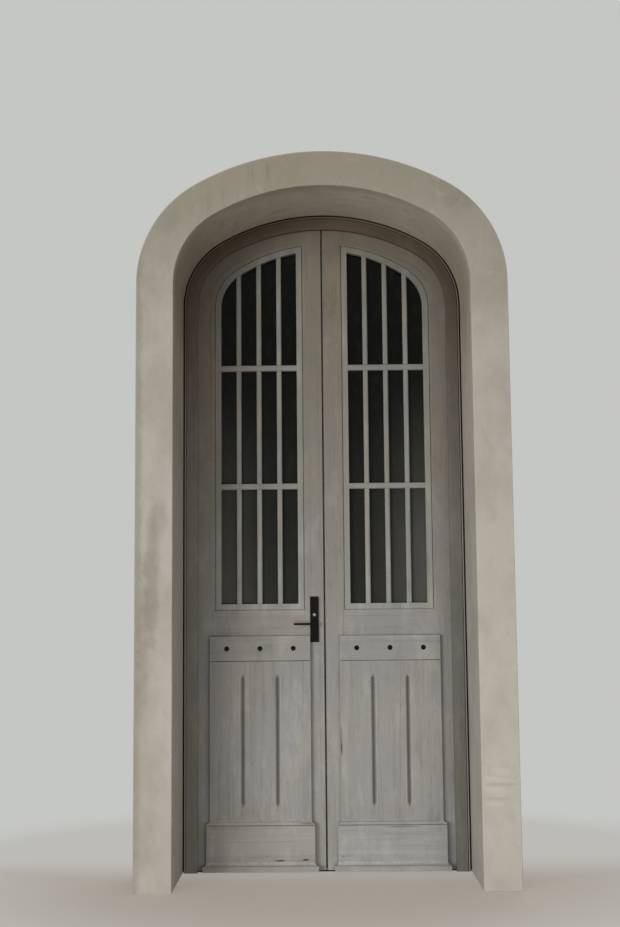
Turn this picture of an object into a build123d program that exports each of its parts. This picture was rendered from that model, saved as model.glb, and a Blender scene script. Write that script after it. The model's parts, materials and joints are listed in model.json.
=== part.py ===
from build123d import *
from math import atan2, cos, sin
import os

# Arched double door in a stone surround, in millimetres.
# Origin: middle of the doorway at floor level, in the mid-plane of the leaves.
# +X runs to the right as seen from outside, +Y into the building, +Z up.

# Clear stone opening: straight jambs under a three-centred arch
opening_half = 662.5
springing = 2650.0
arch_rise = 442.0
arch_radius = 362.0

# Stone surround
reveal_depth = 466.0
surround_side = 166.0
surround_crown = 158.0
stone_arris = 5.0

# Timber frame, measured inwards from the stone
perimeter_gap = 4.0
bead_width = 9.0
quirk_width = 3.0
rebate_inset = 56.5
lip_reach = 12.5
lip_round = 4.0
lip_thickness = 22.0
seal_thickness = 20.0

# Weather seal on the back of the lip
weather_gap = 3.0
seal_relief = 0.3
weather_margin = 3.0

# Threshold plate
threshold_height = 4.0
threshold_width = 42.0
threshold_chamfer = 1.0

# Leaves
leaf_thickness = 54.0
leaf_clearance = 3.0
meeting_gap = 7.0
floor_clearance = 3.0
stile_width = 89.0
bottom_rail_top = 230.0
lock_rail_bottom = 990.0
lock_rail_top = 1196.0
glazing_crown_inset = 137.0
tongue_depth = 8.0
tongue_thickness = 16.0

# Glazing
grille_width = 30.0
grille_depth = 29.5
grille_setback = 1.5
grille_quirk = 3.5
grille_quirk_depth = 8.0
bar_width = 24.0
bar_depth = 18.0
bar_round = 7.0
bar_count = 3
crossbar_height = 27.0
crossbar_chamfer = 3.0
crossbar_first_height = 1780.5
crossbar_step = 570.0
crossbar_count = 2
glass_thickness = 8.0
glass_edge = 2.0
inner_bead_width = 20.0
inner_bead_round = 4.0

# Lower panel and the boards applied to its face
panel_recess = 12.0
field_margin = 45.0
field_raise = 6.0
field_bevel = 5.4
board_proud = 22.0
batten_bottom = 962.0
batten_height = 114.0
batten_proud = 24.0
batten_chamfer = 2.0
batten_joint = 2.5
groove_width = 25.0
groove_spacing = 162.0
groove_foot_margin = 58.0
groove_head_margin = 63.0
groove_tip = 16.0
groove_depth = 12.0
plinth_spread = 15.0
plinth_top = 236.0
plinth_joint_drop = 22.0
plinth_joint_width = 2.5
plinth_joint_depth = 3.0
plinth_proud = 31.0
base_spread = 17.0
base_height = 25.0
base_proud = 48.0

# Stud nails
stud_radius = 12.0
stud_rise = 4.0
stud_spacing = 155.0
shank_radius = 3.0
shank_length = 20.0

# Hinges
hinge_count = 4
hinge_first = 250.0
hinge_head_margin = 200.0
hinge_height = 100.0
hinge_plate = 2.5
hinge_reach = 35.0
knuckle_radius = 7.0
knuckle_stand = 9.0
pin_radius = 4.0
pin_head = 6.0
pin_running = 0.06
knuckle_gap = 0.3

# Lever handles and backplates
lever_height = 1131.0
lever_length = 97.0
lever_tall = 10.0
lever_deep = 12.0
lever_stand = 33.0
lever_round = 2.5
lever_relief = 0.3
neck_radius = 9.0
neck_running = 0.06
spindle_side = 8.0
spindle_reach = 25.0
spindle_way = 10.0
plate_width = 40.0
plate_margin = 84.5
plate_thickness = 8.0
plate_chamfer = 1.0
plate_clearance = 0.5

# Lock
cylinder_rise = 43.0
cylinder_radius = 8.5
cylinder_proud = 3.0
plug_radius = 5.5
plug_running = 0.06
key_slot = 1.6
key_slot_tall = 7.7
key_slot_deep = 3.0
case_wall = 2.5
case_thickness = 16.0
case_margin_below = 71.0
case_margin_above = 76.0
case_way = 8.0
forend_thickness = 3.0
forend_width = 22.0
forend_margin = 25.0
latch_thickness = 12.0
latch_height = 18.0
latch_bevel = 9.0
latch_end_gap = 6.0
deadbolt_thickness = 10.0
deadbolt_height = 28.0
deadbolt_end_gap = 1.5
bolt_relief = 0.3
bolt_setback = 0.5

# Strike plate on the other leaf
strike_margin_below = 36.0
strike_margin_above = 38.0
strike_relief = 1.0
latch_pocket = 20.0
deadbolt_pocket = 24.0

# Flush bolts in the edge of the right leaf
flush_inset = 11.0
flush_radius = 5.0
flush_running = 0.08
flush_plate = 2.5
flush_channel_width = 20.0
flush_channel_margin = 2.0
flush_channel_height = 200.0
flush_thumb = 24.0
flush_thumb_width = 12.0
flush_slot_relief = 0.5
flush_setback = 1.0
top_bolt_travel = 20.0
bottom_bolt_travel = 7.0
top_channel_bottom = 1800.0
bottom_channel_bottom = 300.0
keep_length = 40.0
keep_width = 20.0
keep_thickness = 3.0
keep_relief = 0.75
keep_setback = 0.5
keep_depth = 20.0

# Brush strips on the meeting edges; each stops short of the middle of the gap
brush_relief = 0.3
brush_thickness = 6.0
brush_setback = 8.0

# Distance within which an edge counts as part of the opening's outline
edge_slack = 1.0

# Levels and planes that follow from the sizes above
opening_crown = springing + arch_rise
lip_inset = rebate_inset + lip_reach
leaf_front = -leaf_thickness / 2
leaf_back = leaf_thickness / 2
frame_back = leaf_back
frame_front = leaf_front - weather_gap - lip_thickness
lip_back = frame_front + lip_thickness
stone_front = frame_front - reveal_depth
leaf_bottom = threshold_height + floor_clearance
leaf_meeting = meeting_gap / 2
leaf_inset = rebate_inset + leaf_clearance
leaf_hinge = opening_half - leaf_inset
leaf_centre = (leaf_meeting + leaf_hinge) / 2
glazing_near = leaf_meeting + stile_width
glazing_far = leaf_hinge - stile_width
glazing_inset = opening_half - glazing_far
grille_front = leaf_front + grille_setback
grille_back = grille_front + grille_depth
glass_back = grille_back + glass_thickness
crossbar_levels = [
    crossbar_first_height + index * crossbar_step for index in range(crossbar_count)
]
board_margin = (stile_width + plate_width) / 2 + plate_clearance
board_width = leaf_hinge - leaf_meeting - 2 * board_margin
plinth_width = board_width + 2 * plinth_spread
base_width = plinth_width + 2 * base_spread
batten_top = batten_bottom + batten_height
board_top = batten_bottom - batten_joint
stud_height = (batten_bottom + batten_top) / 2
groove_bottom = plinth_top + groove_foot_margin
groove_top = batten_bottom - groove_head_margin
board_front = leaf_front - board_proud
batten_front = leaf_front - batten_proud
plinth_front = leaf_front - plinth_proud
base_front = leaf_front - base_proud
base_top = leaf_bottom + base_height
plinth_bottom = base_top + base_spread
plinth_front_cove = plinth_proud - board_proud
panel_back = leaf_back - panel_recess
pin_x = leaf_hinge + leaf_clearance / 2
pin_y = leaf_back + knuckle_stand
knuckle_height = hinge_height / 3
hinge_last = springing - hinge_head_margin
handle_x = leaf_meeting + stile_width / 2
spindle_half = leaf_back + spindle_reach
cylinder_height = lever_height + cylinder_rise
plate_bottom = lever_height - plate_margin
plate_top = cylinder_height + plate_margin
case_bottom = lever_height - case_margin_below
case_top = cylinder_height + case_margin_above
forend_levels = (case_bottom - forend_margin, case_top + forend_margin)
strike_levels = (lever_height - strike_margin_below, cylinder_height + strike_margin_above)
case_front = leaf_meeting + forend_thickness
case_end = glazing_near - tongue_depth - case_wall
bolt_rest = leaf_meeting + bolt_setback
latch_end = handle_x - case_way - latch_end_gap
deadbolt_end = handle_x - cylinder_radius - deadbolt_end_gap
flush_x = leaf_meeting + flush_inset
flush_channel_depth = flush_inset + flush_radius + flush_channel_margin
keep_hole = flush_radius + keep_relief

parts_folder = "parts"
os.makedirs(parts_folder, exist_ok=True)


# Helpers

def front_plane(y):
    """Upright plane at depth y seen from outside: local x is +X, local y is +Z."""
    return Plane(origin=(0, y, 0), x_dir=(1, 0, 0), z_dir=(0, -1, 0))


def arch_curve(half_span, crown, radius):
    """Three tangent arcs from the right springing over the crown to the left one."""
    rise = crown - springing
    big = (half_span ** 2 + rise ** 2 - 2 * half_span * radius) / (2 * (rise - radius))
    lean = atan2(springing - crown + big, half_span - radius)
    joint_x = big * cos(lean)
    joint_z = crown - big + big * sin(lean)
    TangentArc((half_span, springing), (joint_x, joint_z), tangent=(0, 1))
    ThreePointArc((joint_x, joint_z), (0, crown), (-joint_x, joint_z))
    TangentArc((-half_span, springing), (-joint_x, joint_z), tangent=(0, 1))


def arched_face(half_span, crown, radius, foot, mode=Mode.ADD):
    """Whole doorway outline: straight sides from the foot level and the arch on top."""
    with BuildLine() as outline:
        arch_curve(half_span, crown, radius)
        Polyline(
            (half_span, springing),
            (half_span, foot),
            (-half_span, foot),
            (-half_span, springing),
        )
    make_face(outline.edges(), mode=mode)


def inset_arch(inset):
    """Half span, crown and small radius of the line that runs inside the opening."""
    return opening_half - inset, opening_crown - inset, arch_radius - inset


def glazing_arch(inset):
    """The same for a line inside the glazing opening."""
    return (
        glazing_far - inset,
        opening_crown - glazing_crown_inset - inset,
        arch_radius - glazing_inset - inset,
    )


def glazing_face(inset, mode=Mode.ADD):
    """Glazing opening of the right leaf, drawn smaller by the inset on every side."""
    foot = lock_rail_top + inset
    near = glazing_near + inset
    with BuildSketch(mode=Mode.PRIVATE) as outline:
        arched_face(*glazing_arch(inset), foot)
        with Locations((near, foot)):
            Rectangle(opening_half, opening_crown, align=(Align.MIN, Align.MIN), mode=Mode.INTERSECT)
    add(outline.sketch, mode=mode)


def block(x, y, z, mode=Mode.ADD):
    """Rectangular block given by its (low, high) limits along X, Y and Z."""
    with Locations((x[0], y[0], z[0])):
        Box(
            x[1] - x[0],
            y[1] - y[0],
            z[1] - z[0],
            align=(Align.MIN, Align.MIN, Align.MIN),
            mode=mode,
        )


def round_bar(x, z, radius, y, mode=Mode.ADD):
    """Cylinder along Y at (x, z) between the two depths in y."""
    with BuildSketch(front_plane(y[1])) as disc:
        with Locations((x, z)):
            Circle(radius)
    extrude(disc.sketch, amount=y[1] - y[0], mode=mode)


def upright_bar(x, y, radius, z, mode=Mode.ADD):
    """Cylinder along Z at (x, y) between the two levels in z."""
    with BuildSketch(Plane.XY.offset(z[0])) as disc:
        with Locations((x, y)):
            Circle(radius)
    extrude(disc.sketch, amount=z[1] - z[0], mode=mode)


def to_side(side):
    """Everything is drawn for the right leaf; the left one is its mirror image."""
    if side == "left":
        mirror(about=Plane.YZ, mode=Mode.REPLACE)


def hinge_levels():
    """Middle height of each hinge."""
    step = (hinge_last - hinge_first) / (hinge_count - 1)
    return [hinge_first + step * index for index in range(hinge_count)]


def save(piece, label):
    """Label a finished piece and write its STEP file."""
    piece.part.label = label
    export_step(piece.part, f"{parts_folder}/{label}.step")


# Stone surround and timber frame

def stone_surround():
    """One arched stone, softened along its inner front arris."""
    with BuildPart() as surround:
        with BuildSketch(front_plane(frame_back)):
            arched_face(
                opening_half + surround_side,
                opening_crown + surround_crown,
                arch_radius + surround_crown,
                0,
            )
            arched_face(opening_half, opening_crown, arch_radius, 0, mode=Mode.SUBTRACT)
        extrude(amount=frame_back - stone_front)
        front_edges = surround.faces().sort_by(Axis.Y)[0].edges()
        arris = front_edges.filter_by(
            lambda edge: abs(edge.center().X) < opening_half + edge_slack
            and edge_slack < edge.center().Z < opening_crown + edge_slack
        )
        fillet(arris, radius=stone_arris)
    return surround


def frame_section():
    """Moulded section of the frame: bead, quirk, flat face, rounded lip and rebate."""
    bead_radius = bead_width / 2
    outer = opening_half - perimeter_gap
    bead_end = outer - bead_width
    face_start = bead_end - quirk_width
    lip = opening_half - lip_inset
    rebate = opening_half - rebate_inset
    shoulder = frame_front + bead_radius
    with BuildLine() as outline:
        ThreePointArc((outer, shoulder), (outer - bead_radius, frame_front), (bead_end, shoulder))
        Polyline(
            (bead_end, shoulder),
            (face_start, shoulder),
            (face_start, frame_front),
            (lip + lip_round, frame_front),
        )
        RadiusArc((lip + lip_round, frame_front), (lip, frame_front + lip_round), lip_round)
        Polyline(
            (lip, frame_front + lip_round),
            (lip, lip_back),
            (rebate, lip_back),
            (rebate, frame_back),
            (outer, frame_back),
            (outer, shoulder),
        )
    make_face(outline.edges())


def hinge_mortise(x, mode=Mode.SUBTRACT):
    """Recesses for the hinge plates along one upright face."""
    for level in hinge_levels():
        low = level - hinge_height / 2
        block(x, (leaf_back - hinge_reach, leaf_back), (low, low + hinge_height), mode=mode)


def frame_jamb(side):
    """Upright frame member with recesses for the hinge plates in its rebate."""
    rebate = opening_half - rebate_inset
    with BuildPart() as jamb:
        with BuildSketch():
            frame_section()
        extrude(amount=springing)
        hinge_mortise((rebate, rebate + hinge_plate))
        to_side(side)
    return jamb


def keep_level():
    """Underside of the keep plate, just above the curved soffit of the rebate."""
    return opening_crown - rebate_inset + keep_setback


def frame_head():
    """Arched frame member: the jamb section carried over the three-centred arch."""
    seat = keep_level() + keep_thickness
    with BuildPart() as head:
        with BuildLine(front_plane(0)) as path:
            arch_curve(opening_half, opening_crown, arch_radius)
        with BuildSketch(Plane.XY.offset(springing)):
            frame_section()
        sweep(path=path.line)
        block(
            (flush_x - keep_length / 2, flush_x + keep_length / 2),
            (-keep_width / 2, keep_width / 2),
            (seat - 3 * keep_thickness, seat),
            mode=Mode.SUBTRACT,
        )
        upright_bar(flush_x, 0, keep_hole, (seat, seat + keep_depth), mode=Mode.SUBTRACT)
    return head


def head_keep():
    """Plate in the frame head that the upper flush bolt shoots through."""
    with BuildPart() as keep:
        with BuildSketch(Plane.XY.offset(keep_level())):
            with Locations((flush_x, 0)):
                Rectangle(keep_length, keep_width)
                Circle(keep_hole, mode=Mode.SUBTRACT)
        extrude(amount=keep_thickness)
    return keep


def perimeter_seal():
    """Compressed joint tape between the stone and the frame."""
    with BuildPart() as tape:
        with BuildSketch(front_plane(seal_thickness / 2)):
            arched_face(opening_half, opening_crown, arch_radius, 0)
            arched_face(*inset_arch(perimeter_gap), 0, mode=Mode.SUBTRACT)
        extrude(amount=seal_thickness)
    return tape


def weather_seal():
    """Flat seal on the back of the lip, just clear of the closed leaves."""
    with BuildPart() as seal:
        with BuildSketch(front_plane(leaf_front - seal_relief)):
            arched_face(*inset_arch(rebate_inset + weather_margin), leaf_bottom)
            arched_face(*inset_arch(lip_inset - weather_margin), leaf_bottom, mode=Mode.SUBTRACT)
        extrude(amount=weather_gap - seal_relief)
    return seal


def threshold():
    """Low metal strip between the rebates, with the socket of the lower bolt."""
    with BuildPart() as strip:
        with BuildSketch():
            Rectangle(2 * (opening_half - rebate_inset), threshold_width)
            with Locations((flush_x, 0)):
                Circle(keep_hole, mode=Mode.SUBTRACT)
        extrude(amount=threshold_height)
        top_edges = strip.faces().sort_by(Axis.Z)[-1].edges().filter_by(Axis.X)
        chamfer(top_edges, length=threshold_chamfer)
    return strip


# Hinges

def hinge_half(level, plate_x, knuckles, bore, mode=Mode.ADD):
    """One plate with its knuckles; knuckles lists the thirds of the barrel it carries."""
    low = level - hinge_height / 2
    block(plate_x, (leaf_back - hinge_reach, leaf_back), (low, low + hinge_height), mode=mode)
    for third in knuckles:
        bottom = low + third * knuckle_height + knuckle_gap / 2
        top = low + (third + 1) * knuckle_height - knuckle_gap / 2
        block(plate_x, (leaf_back, pin_y), (bottom, top))
        upright_bar(pin_x, pin_y, knuckle_radius, (bottom, top))
        upright_bar(pin_x, pin_y, bore, (bottom, top), mode=Mode.SUBTRACT)


def frame_hinge_plates():
    """Fixed plates of all the hinges, two knuckles on each."""
    rebate = opening_half - rebate_inset
    with BuildPart() as plates:
        for level in hinge_levels():
            hinge_half(level, (rebate, rebate + hinge_plate), (0, 2), pin_radius)
        mirror(about=Plane.YZ)
    return plates


def leaf_hinge_plates(side):
    """Moving plates of one leaf, one knuckle on each."""
    with BuildPart() as plates:
        for level in hinge_levels():
            hinge_half(level, (leaf_hinge - hinge_plate, leaf_hinge), (1,), pin_radius + pin_running)
        to_side(side)
    return plates


def hinge_pins():
    """Loose pins with a button at each end."""
    with BuildPart() as pins:
        for level in hinge_levels():
            low = level - hinge_height / 2
            high = level + hinge_height / 2
            upright_bar(pin_x, pin_y, pin_radius, (low, high))
            upright_bar(pin_x, pin_y, pin_head, (low - pin_radius, low))
            upright_bar(pin_x, pin_y, pin_head, (high, high + pin_radius))
        mirror(about=Plane.YZ)
    return pins


# Joinery of a leaf

def tongue_groove(x, z, mode=Mode.SUBTRACT):
    """Groove or tongue in the mid-plane of the leaf."""
    block(x, (-tongue_thickness / 2, tongue_thickness / 2), z, mode=mode)


def hinge_stile(side):
    """Upright on the hinge side, up to the springing of the arch."""
    with BuildPart() as stile:
        block((glazing_far, leaf_hinge), (leaf_front, leaf_back), (leaf_bottom, springing))
        tongue_groove((glazing_far, glazing_far + tongue_depth), (leaf_bottom, lock_rail_top))
        hinge_mortise((leaf_hinge - hinge_plate, leaf_hinge))
        to_side(side)
    return stile


def lock_openings():
    """Mortise for the lock, recess for its forend and ways for spindle and cylinder."""
    block(
        (case_front, case_end),
        (-case_thickness / 2, case_thickness / 2),
        (case_bottom, case_top),
        mode=Mode.SUBTRACT,
    )
    block(
        (leaf_meeting, case_front),
        (-forend_width / 2, forend_width / 2),
        forend_levels,
        mode=Mode.SUBTRACT,
    )
    round_bar(handle_x, lever_height, spindle_way, (leaf_front, leaf_back), mode=Mode.SUBTRACT)
    round_bar(handle_x, cylinder_height, cylinder_radius, (leaf_front, leaf_back), mode=Mode.SUBTRACT)


def strike_windows(x, depth_latch, depth_deadbolt):
    """Pockets that receive the latch and the deadbolt, opened from the meeting edge."""
    latch_y = latch_thickness / 2 + strike_relief
    latch_z = latch_height / 2 + strike_relief
    dead_y = deadbolt_thickness / 2 + strike_relief
    dead_z = deadbolt_height / 2 + strike_relief
    block(
        (x, x + depth_latch),
        (-latch_y, latch_y),
        (lever_height - latch_z, lever_height + latch_z),
        mode=Mode.SUBTRACT,
    )
    block(
        (x, x + depth_deadbolt),
        (-dead_y, dead_y),
        (cylinder_height - dead_z, cylinder_height + dead_z),
        mode=Mode.SUBTRACT,
    )


def flush_channel(low, hole):
    """Channel behind a flush-bolt plate and the long bore that guides its rod."""
    half = flush_channel_width / 2
    block(
        (leaf_meeting, leaf_meeting + flush_channel_depth),
        (-half, half),
        (low, low + flush_channel_height),
        mode=Mode.SUBTRACT,
    )
    upright_bar(flush_x, 0, flush_radius + flush_running, hole, mode=Mode.SUBTRACT)


def strike_openings():
    """Recess for the strike plate, its pockets and the flush-bolt channels."""
    block(
        (leaf_meeting, leaf_meeting + forend_thickness),
        (-forend_width / 2, forend_width / 2),
        strike_levels,
        mode=Mode.SUBTRACT,
    )
    strike_windows(leaf_meeting, latch_pocket, deadbolt_pocket)
    flush_channel(top_channel_bottom, (top_channel_bottom + flush_channel_height, opening_crown))
    flush_channel(bottom_channel_bottom, (0, bottom_channel_bottom))


def meeting_stile(side):
    """Upright at the meeting edge, full height, its top cut to the arch."""
    with BuildPart() as stile:
        with BuildSketch(front_plane(leaf_back)):
            arched_face(*inset_arch(leaf_inset), leaf_bottom)
            with Locations((leaf_meeting, leaf_bottom)):
                Rectangle(
                    stile_width,
                    opening_crown,
                    align=(Align.MIN, Align.MIN),
                    mode=Mode.INTERSECT,
                )
        extrude(amount=leaf_thickness)
        tongue_groove((glazing_near - tongue_depth, glazing_near), (leaf_bottom, lock_rail_top))
        if side == "left":
            lock_openings()
        else:
            strike_openings()
        to_side(side)
    return stile


def top_rail(side):
    """Arched rail between the stiles, over the glazing."""
    with BuildPart() as rail:
        with BuildSketch(front_plane(leaf_back)):
            arched_face(*inset_arch(leaf_inset), leaf_bottom)
            with Locations((glazing_near, springing)):
                Rectangle(
                    opening_half,
                    opening_crown,
                    align=(Align.MIN, Align.MIN),
                    mode=Mode.INTERSECT,
                )
            glazing_face(0, mode=Mode.SUBTRACT)
        extrude(amount=leaf_thickness)
        to_side(side)
    return rail


def cross_rail(side, low, high):
    """Rail between the stiles with a tongue at each end, grooved for the panel."""
    with BuildPart() as rail:
        block((glazing_near, glazing_far), (leaf_front, leaf_back), (low, high))
        ends = (glazing_near - tongue_depth, glazing_far + tongue_depth)
        tongue_groove(ends, (low, high), mode=Mode.ADD)
        tongue_groove(ends, (bottom_rail_top - tongue_depth, lock_rail_bottom + tongue_depth))
        to_side(side)
    return rail


def inner_panel(side):
    """Lower panel: tongued all round, flush behind the boards, fielded on the inside."""
    with BuildPart() as panel:
        block(
            (glazing_near, glazing_far),
            (leaf_front, panel_back),
            (bottom_rail_top, lock_rail_bottom),
        )
        tongue_groove(
            (glazing_near - tongue_depth, glazing_far + tongue_depth),
            (bottom_rail_top - tongue_depth, lock_rail_bottom + tongue_depth),
            mode=Mode.ADD,
        )
        block(
            (glazing_near + field_margin, glazing_far - field_margin),
            (panel_back, panel_back + field_raise),
            (bottom_rail_top + field_margin, lock_rail_bottom - field_margin),
        )
        field_edges = panel.faces().sort_by(Axis.Y)[-1].edges()
        chamfer(field_edges, length=field_bevel)
        to_side(side)
    return panel


# Boards applied to the outside of a leaf

def fluted_board(side):
    """Board with two stopped grooves that run out to a point at both ends."""
    half = groove_width / 2
    with BuildPart() as board:
        with BuildSketch(front_plane(leaf_front)):
            with Locations((leaf_centre, (plinth_top + board_top) / 2)):
                Rectangle(board_width, board_top - plinth_top)
        extrude(amount=board_proud)
        for groove_x in (leaf_centre - groove_spacing / 2, leaf_centre + groove_spacing / 2):
            with BuildSketch(front_plane(board_front)):
                with BuildLine():
                    Polyline(
                        (groove_x - half, groove_bottom + groove_tip),
                        (groove_x, groove_bottom),
                        (groove_x + half, groove_bottom + groove_tip),
                        (groove_x + half, groove_top - groove_tip),
                        (groove_x, groove_top),
                        (groove_x - half, groove_top - groove_tip),
                        close=True,
                    )
                make_face()
            extrude(amount=-groove_depth, taper=45, mode=Mode.SUBTRACT)
        to_side(side)
    return board


def nail_batten(side):
    """Cross batten over the board, bored for the stud nails."""
    with BuildPart() as batten:
        with BuildSketch(front_plane(leaf_front)):
            with Locations((leaf_centre, (batten_bottom + batten_top) / 2)):
                Rectangle(board_width, batten_top - batten_bottom)
        extrude(amount=batten_proud)
        front_edges = batten.faces().sort_by(Axis.Y)[0].edges()
        chamfer(front_edges, length=batten_chamfer)
        for offset in (-stud_spacing, 0, stud_spacing):
            depth = (batten_front, batten_front + shank_length)
            round_bar(leaf_centre + offset, stud_height, shank_radius, depth, mode=Mode.SUBTRACT)
        to_side(side)
    return batten


def stud_nails(side):
    """Domed stud nails, head and shank turned in one."""
    dome = (stud_radius ** 2 + stud_rise ** 2) / (2 * stud_rise)
    with BuildPart() as studs:
        for offset in (-stud_spacing, 0, stud_spacing):
            middle = leaf_centre + offset
            with BuildSketch(Plane((middle, batten_front, stud_height), x_dir=(1, 0, 0), z_dir=(0, 0, 1))):
                with BuildLine():
                    Polyline(
                        (0, -stud_rise),
                        (0, shank_length),
                        (shank_radius, shank_length),
                        (shank_radius, 0),
                        (stud_radius, 0),
                    )
                    RadiusArc((stud_radius, 0), (0, -stud_rise), dome)
                make_face()
            revolve(axis=Axis((middle, batten_front, stud_height), (0, 1, 0)))
        to_side(side)
    return studs


def coved_block(width, depths, levels, side_cove, front_cove):
    """Block with a hollow moulding along its top front edge and both top side edges."""
    half = width / 2
    block((leaf_centre - half, leaf_centre + half), depths, levels)
    for edge_x in (leaf_centre - half, leaf_centre + half):
        round_bar(edge_x, levels[1], side_cove, depths, mode=Mode.SUBTRACT)
    with BuildSketch(Plane.YZ.offset(leaf_centre - half)) as hollow:
        with Locations((depths[0], levels[1])):
            Circle(front_cove)
    extrude(hollow.sketch, amount=width, mode=Mode.SUBTRACT)


def plinth(side):
    """Plinth board, hollowed at the top down to the face of the fluted board, with a joint line below."""
    joint_top = plinth_top - plinth_joint_drop
    with BuildPart() as piece:
        coved_block(
            plinth_width,
            (plinth_front, leaf_front),
            (plinth_bottom, plinth_top),
            plinth_spread,
            plinth_front_cove,
        )
        block(
            (leaf_centre - plinth_width / 2, leaf_centre + plinth_width / 2),
            (plinth_front, plinth_front + plinth_joint_depth),
            (joint_top - plinth_joint_width, joint_top),
            mode=Mode.SUBTRACT,
        )
        to_side(side)
    return piece


def base_moulding(side):
    """Base moulding that spreads from the plinth with a hollow."""
    with BuildPart() as piece:
        coved_block(
            base_width,
            (base_front, leaf_front),
            (leaf_bottom, plinth_bottom),
            base_spread,
            base_spread,
        )
        to_side(side)
    return piece


# Glazing of a leaf

def bar_middles():
    """X of the middle of each upright bar, with equal panes between them."""
    near = glazing_near + grille_width
    far = glazing_far - grille_width
    pane = (far - near - bar_count * bar_width) / (bar_count + 1)
    return [near + pane + bar_width / 2 + index * (pane + bar_width) for index in range(bar_count)]


def bar_section(middle):
    """Bullnosed section of one upright bar, drawn on a level plane."""
    with Locations((middle, (grille_front + grille_back) / 2)):
        RectangleRounded(bar_width, bar_depth, bar_round)


def grille_frame(side):
    """Surround of the bars, with a fine quirk against the leaf."""
    with BuildPart() as surround:
        with BuildSketch(front_plane(grille_back)):
            glazing_face(0)
            glazing_face(grille_width, mode=Mode.SUBTRACT)
        extrude(amount=grille_depth - grille_quirk_depth)
        with BuildSketch(front_plane(grille_front + grille_quirk_depth)):
            glazing_face(grille_quirk)
            glazing_face(grille_width, mode=Mode.SUBTRACT)
        extrude(amount=grille_quirk_depth)
        to_side(side)
    return surround


def upright_bars(side):
    """Upright bars, their heads cut to the arch of the grille."""
    foot = lock_rail_top + grille_width
    with BuildPart() as bars:
        with BuildSketch(Plane.XY.offset(foot)):
            for middle in bar_middles():
                bar_section(middle)
        extrude(amount=opening_crown - foot)
        with BuildSketch(front_plane(grille_back)):
            glazing_face(grille_width)
        extrude(amount=grille_depth, mode=Mode.INTERSECT)
        to_side(side)
    return bars


def cross_bars(side):
    """Level bars that the upright bars pass through."""
    near = glazing_near + grille_width
    far = glazing_far - grille_width
    half = crossbar_height / 2
    with BuildPart() as bars:
        for level in crossbar_levels:
            block((near, far), (grille_front, grille_back), (level - half, level + half))
        front_edges = bars.edges().filter_by(Axis.X).group_by(Axis.Y)[0]
        chamfer(front_edges, length=crossbar_chamfer)
        with BuildSketch(Plane.XY.offset(crossbar_levels[0] - crossbar_height)):
            for middle in bar_middles():
                bar_section(middle)
        extrude(amount=crossbar_levels[-1] - crossbar_levels[0] + 2 * crossbar_height, mode=Mode.SUBTRACT)
        to_side(side)
    return bars


def glass_pane(side):
    """Single pane behind the grille, clear of the timber at its edge."""
    with BuildPart() as pane:
        with BuildSketch(front_plane(glass_back)):
            glazing_face(glass_edge)
        extrude(amount=glass_thickness)
        to_side(side)
    return pane


def glazing_bead(side):
    """Inner bead that holds the pane, its sight edge rounded."""
    with BuildPart() as bead:
        with BuildSketch(front_plane(leaf_back)):
            glazing_face(0)
            glazing_face(inner_bead_width, mode=Mode.SUBTRACT)
        extrude(amount=leaf_back - glass_back)
        sight_edges = bead.faces().sort_by(Axis.Y)[-1].inner_wires()[0].edges()
        fillet(sight_edges, radius=inner_bead_round)
        to_side(side)
    return bead


# Lock and handles, drawn on the right and mirrored to the left leaf

def backplates():
    """Pair of flat backplates with round holes for the lever neck and the cylinder."""
    reach = leaf_back + plate_thickness
    with BuildPart() as plates:
        for depths, outside in (((-reach, leaf_front), 0), ((leaf_back, reach), -1)):
            block(
                (handle_x - plate_width / 2, handle_x + plate_width / 2),
                depths,
                (plate_bottom, plate_top),
            )
            face_edges = plates.faces().sort_by(Axis.Y)[outside].edges()
            chamfer(face_edges, length=plate_chamfer)
        round_bar(handle_x, lever_height, neck_radius + neck_running, (-reach, reach), mode=Mode.SUBTRACT)
        round_bar(handle_x, cylinder_height, cylinder_radius, (-reach, reach), mode=Mode.SUBTRACT)
        to_side("left")
    return plates


def lever(inside):
    """Slim straight lever on a round neck, with a square socket for the spindle."""
    turn = 1 if inside else -1
    root = turn * (leaf_back + lever_relief)
    face = turn * (leaf_back + lever_stand)
    tip = turn * (leaf_back + lever_stand + lever_deep)
    socket = turn * spindle_half
    half = lever_tall / 2
    with BuildPart() as handle:
        round_bar(handle_x, lever_height, neck_radius, sorted((root, tip)))
        block(
            (handle_x, handle_x + lever_length),
            sorted((face, tip)),
            (lever_height - half, lever_height + half),
        )
        arm_edges = handle.edges().filter_by(Axis.X)
        fillet(arm_edges, radius=lever_round)
        side_half = spindle_side / 2
        block(
            (handle_x - side_half, handle_x + side_half),
            sorted((root, socket)),
            (lever_height - side_half, lever_height + side_half),
            mode=Mode.SUBTRACT,
        )
        to_side("left")
    return handle


def spindle():
    """Square bar that joins the two levers."""
    with BuildPart() as bar:
        with Locations((handle_x, 0, lever_height)):
            Box(spindle_side, 2 * spindle_half, spindle_side)
        to_side("left")
    return bar


def key_cylinder():
    """Cylinder body through leaf and plates, bored for its plug."""
    reach = leaf_back + plate_thickness + cylinder_proud
    with BuildPart() as barrel:
        round_bar(handle_x, cylinder_height, cylinder_radius, (-reach, reach))
        round_bar(
            handle_x,
            cylinder_height,
            plug_radius + plug_running,
            (-reach, reach),
            mode=Mode.SUBTRACT,
        )
        to_side("left")
    return barrel


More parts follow.
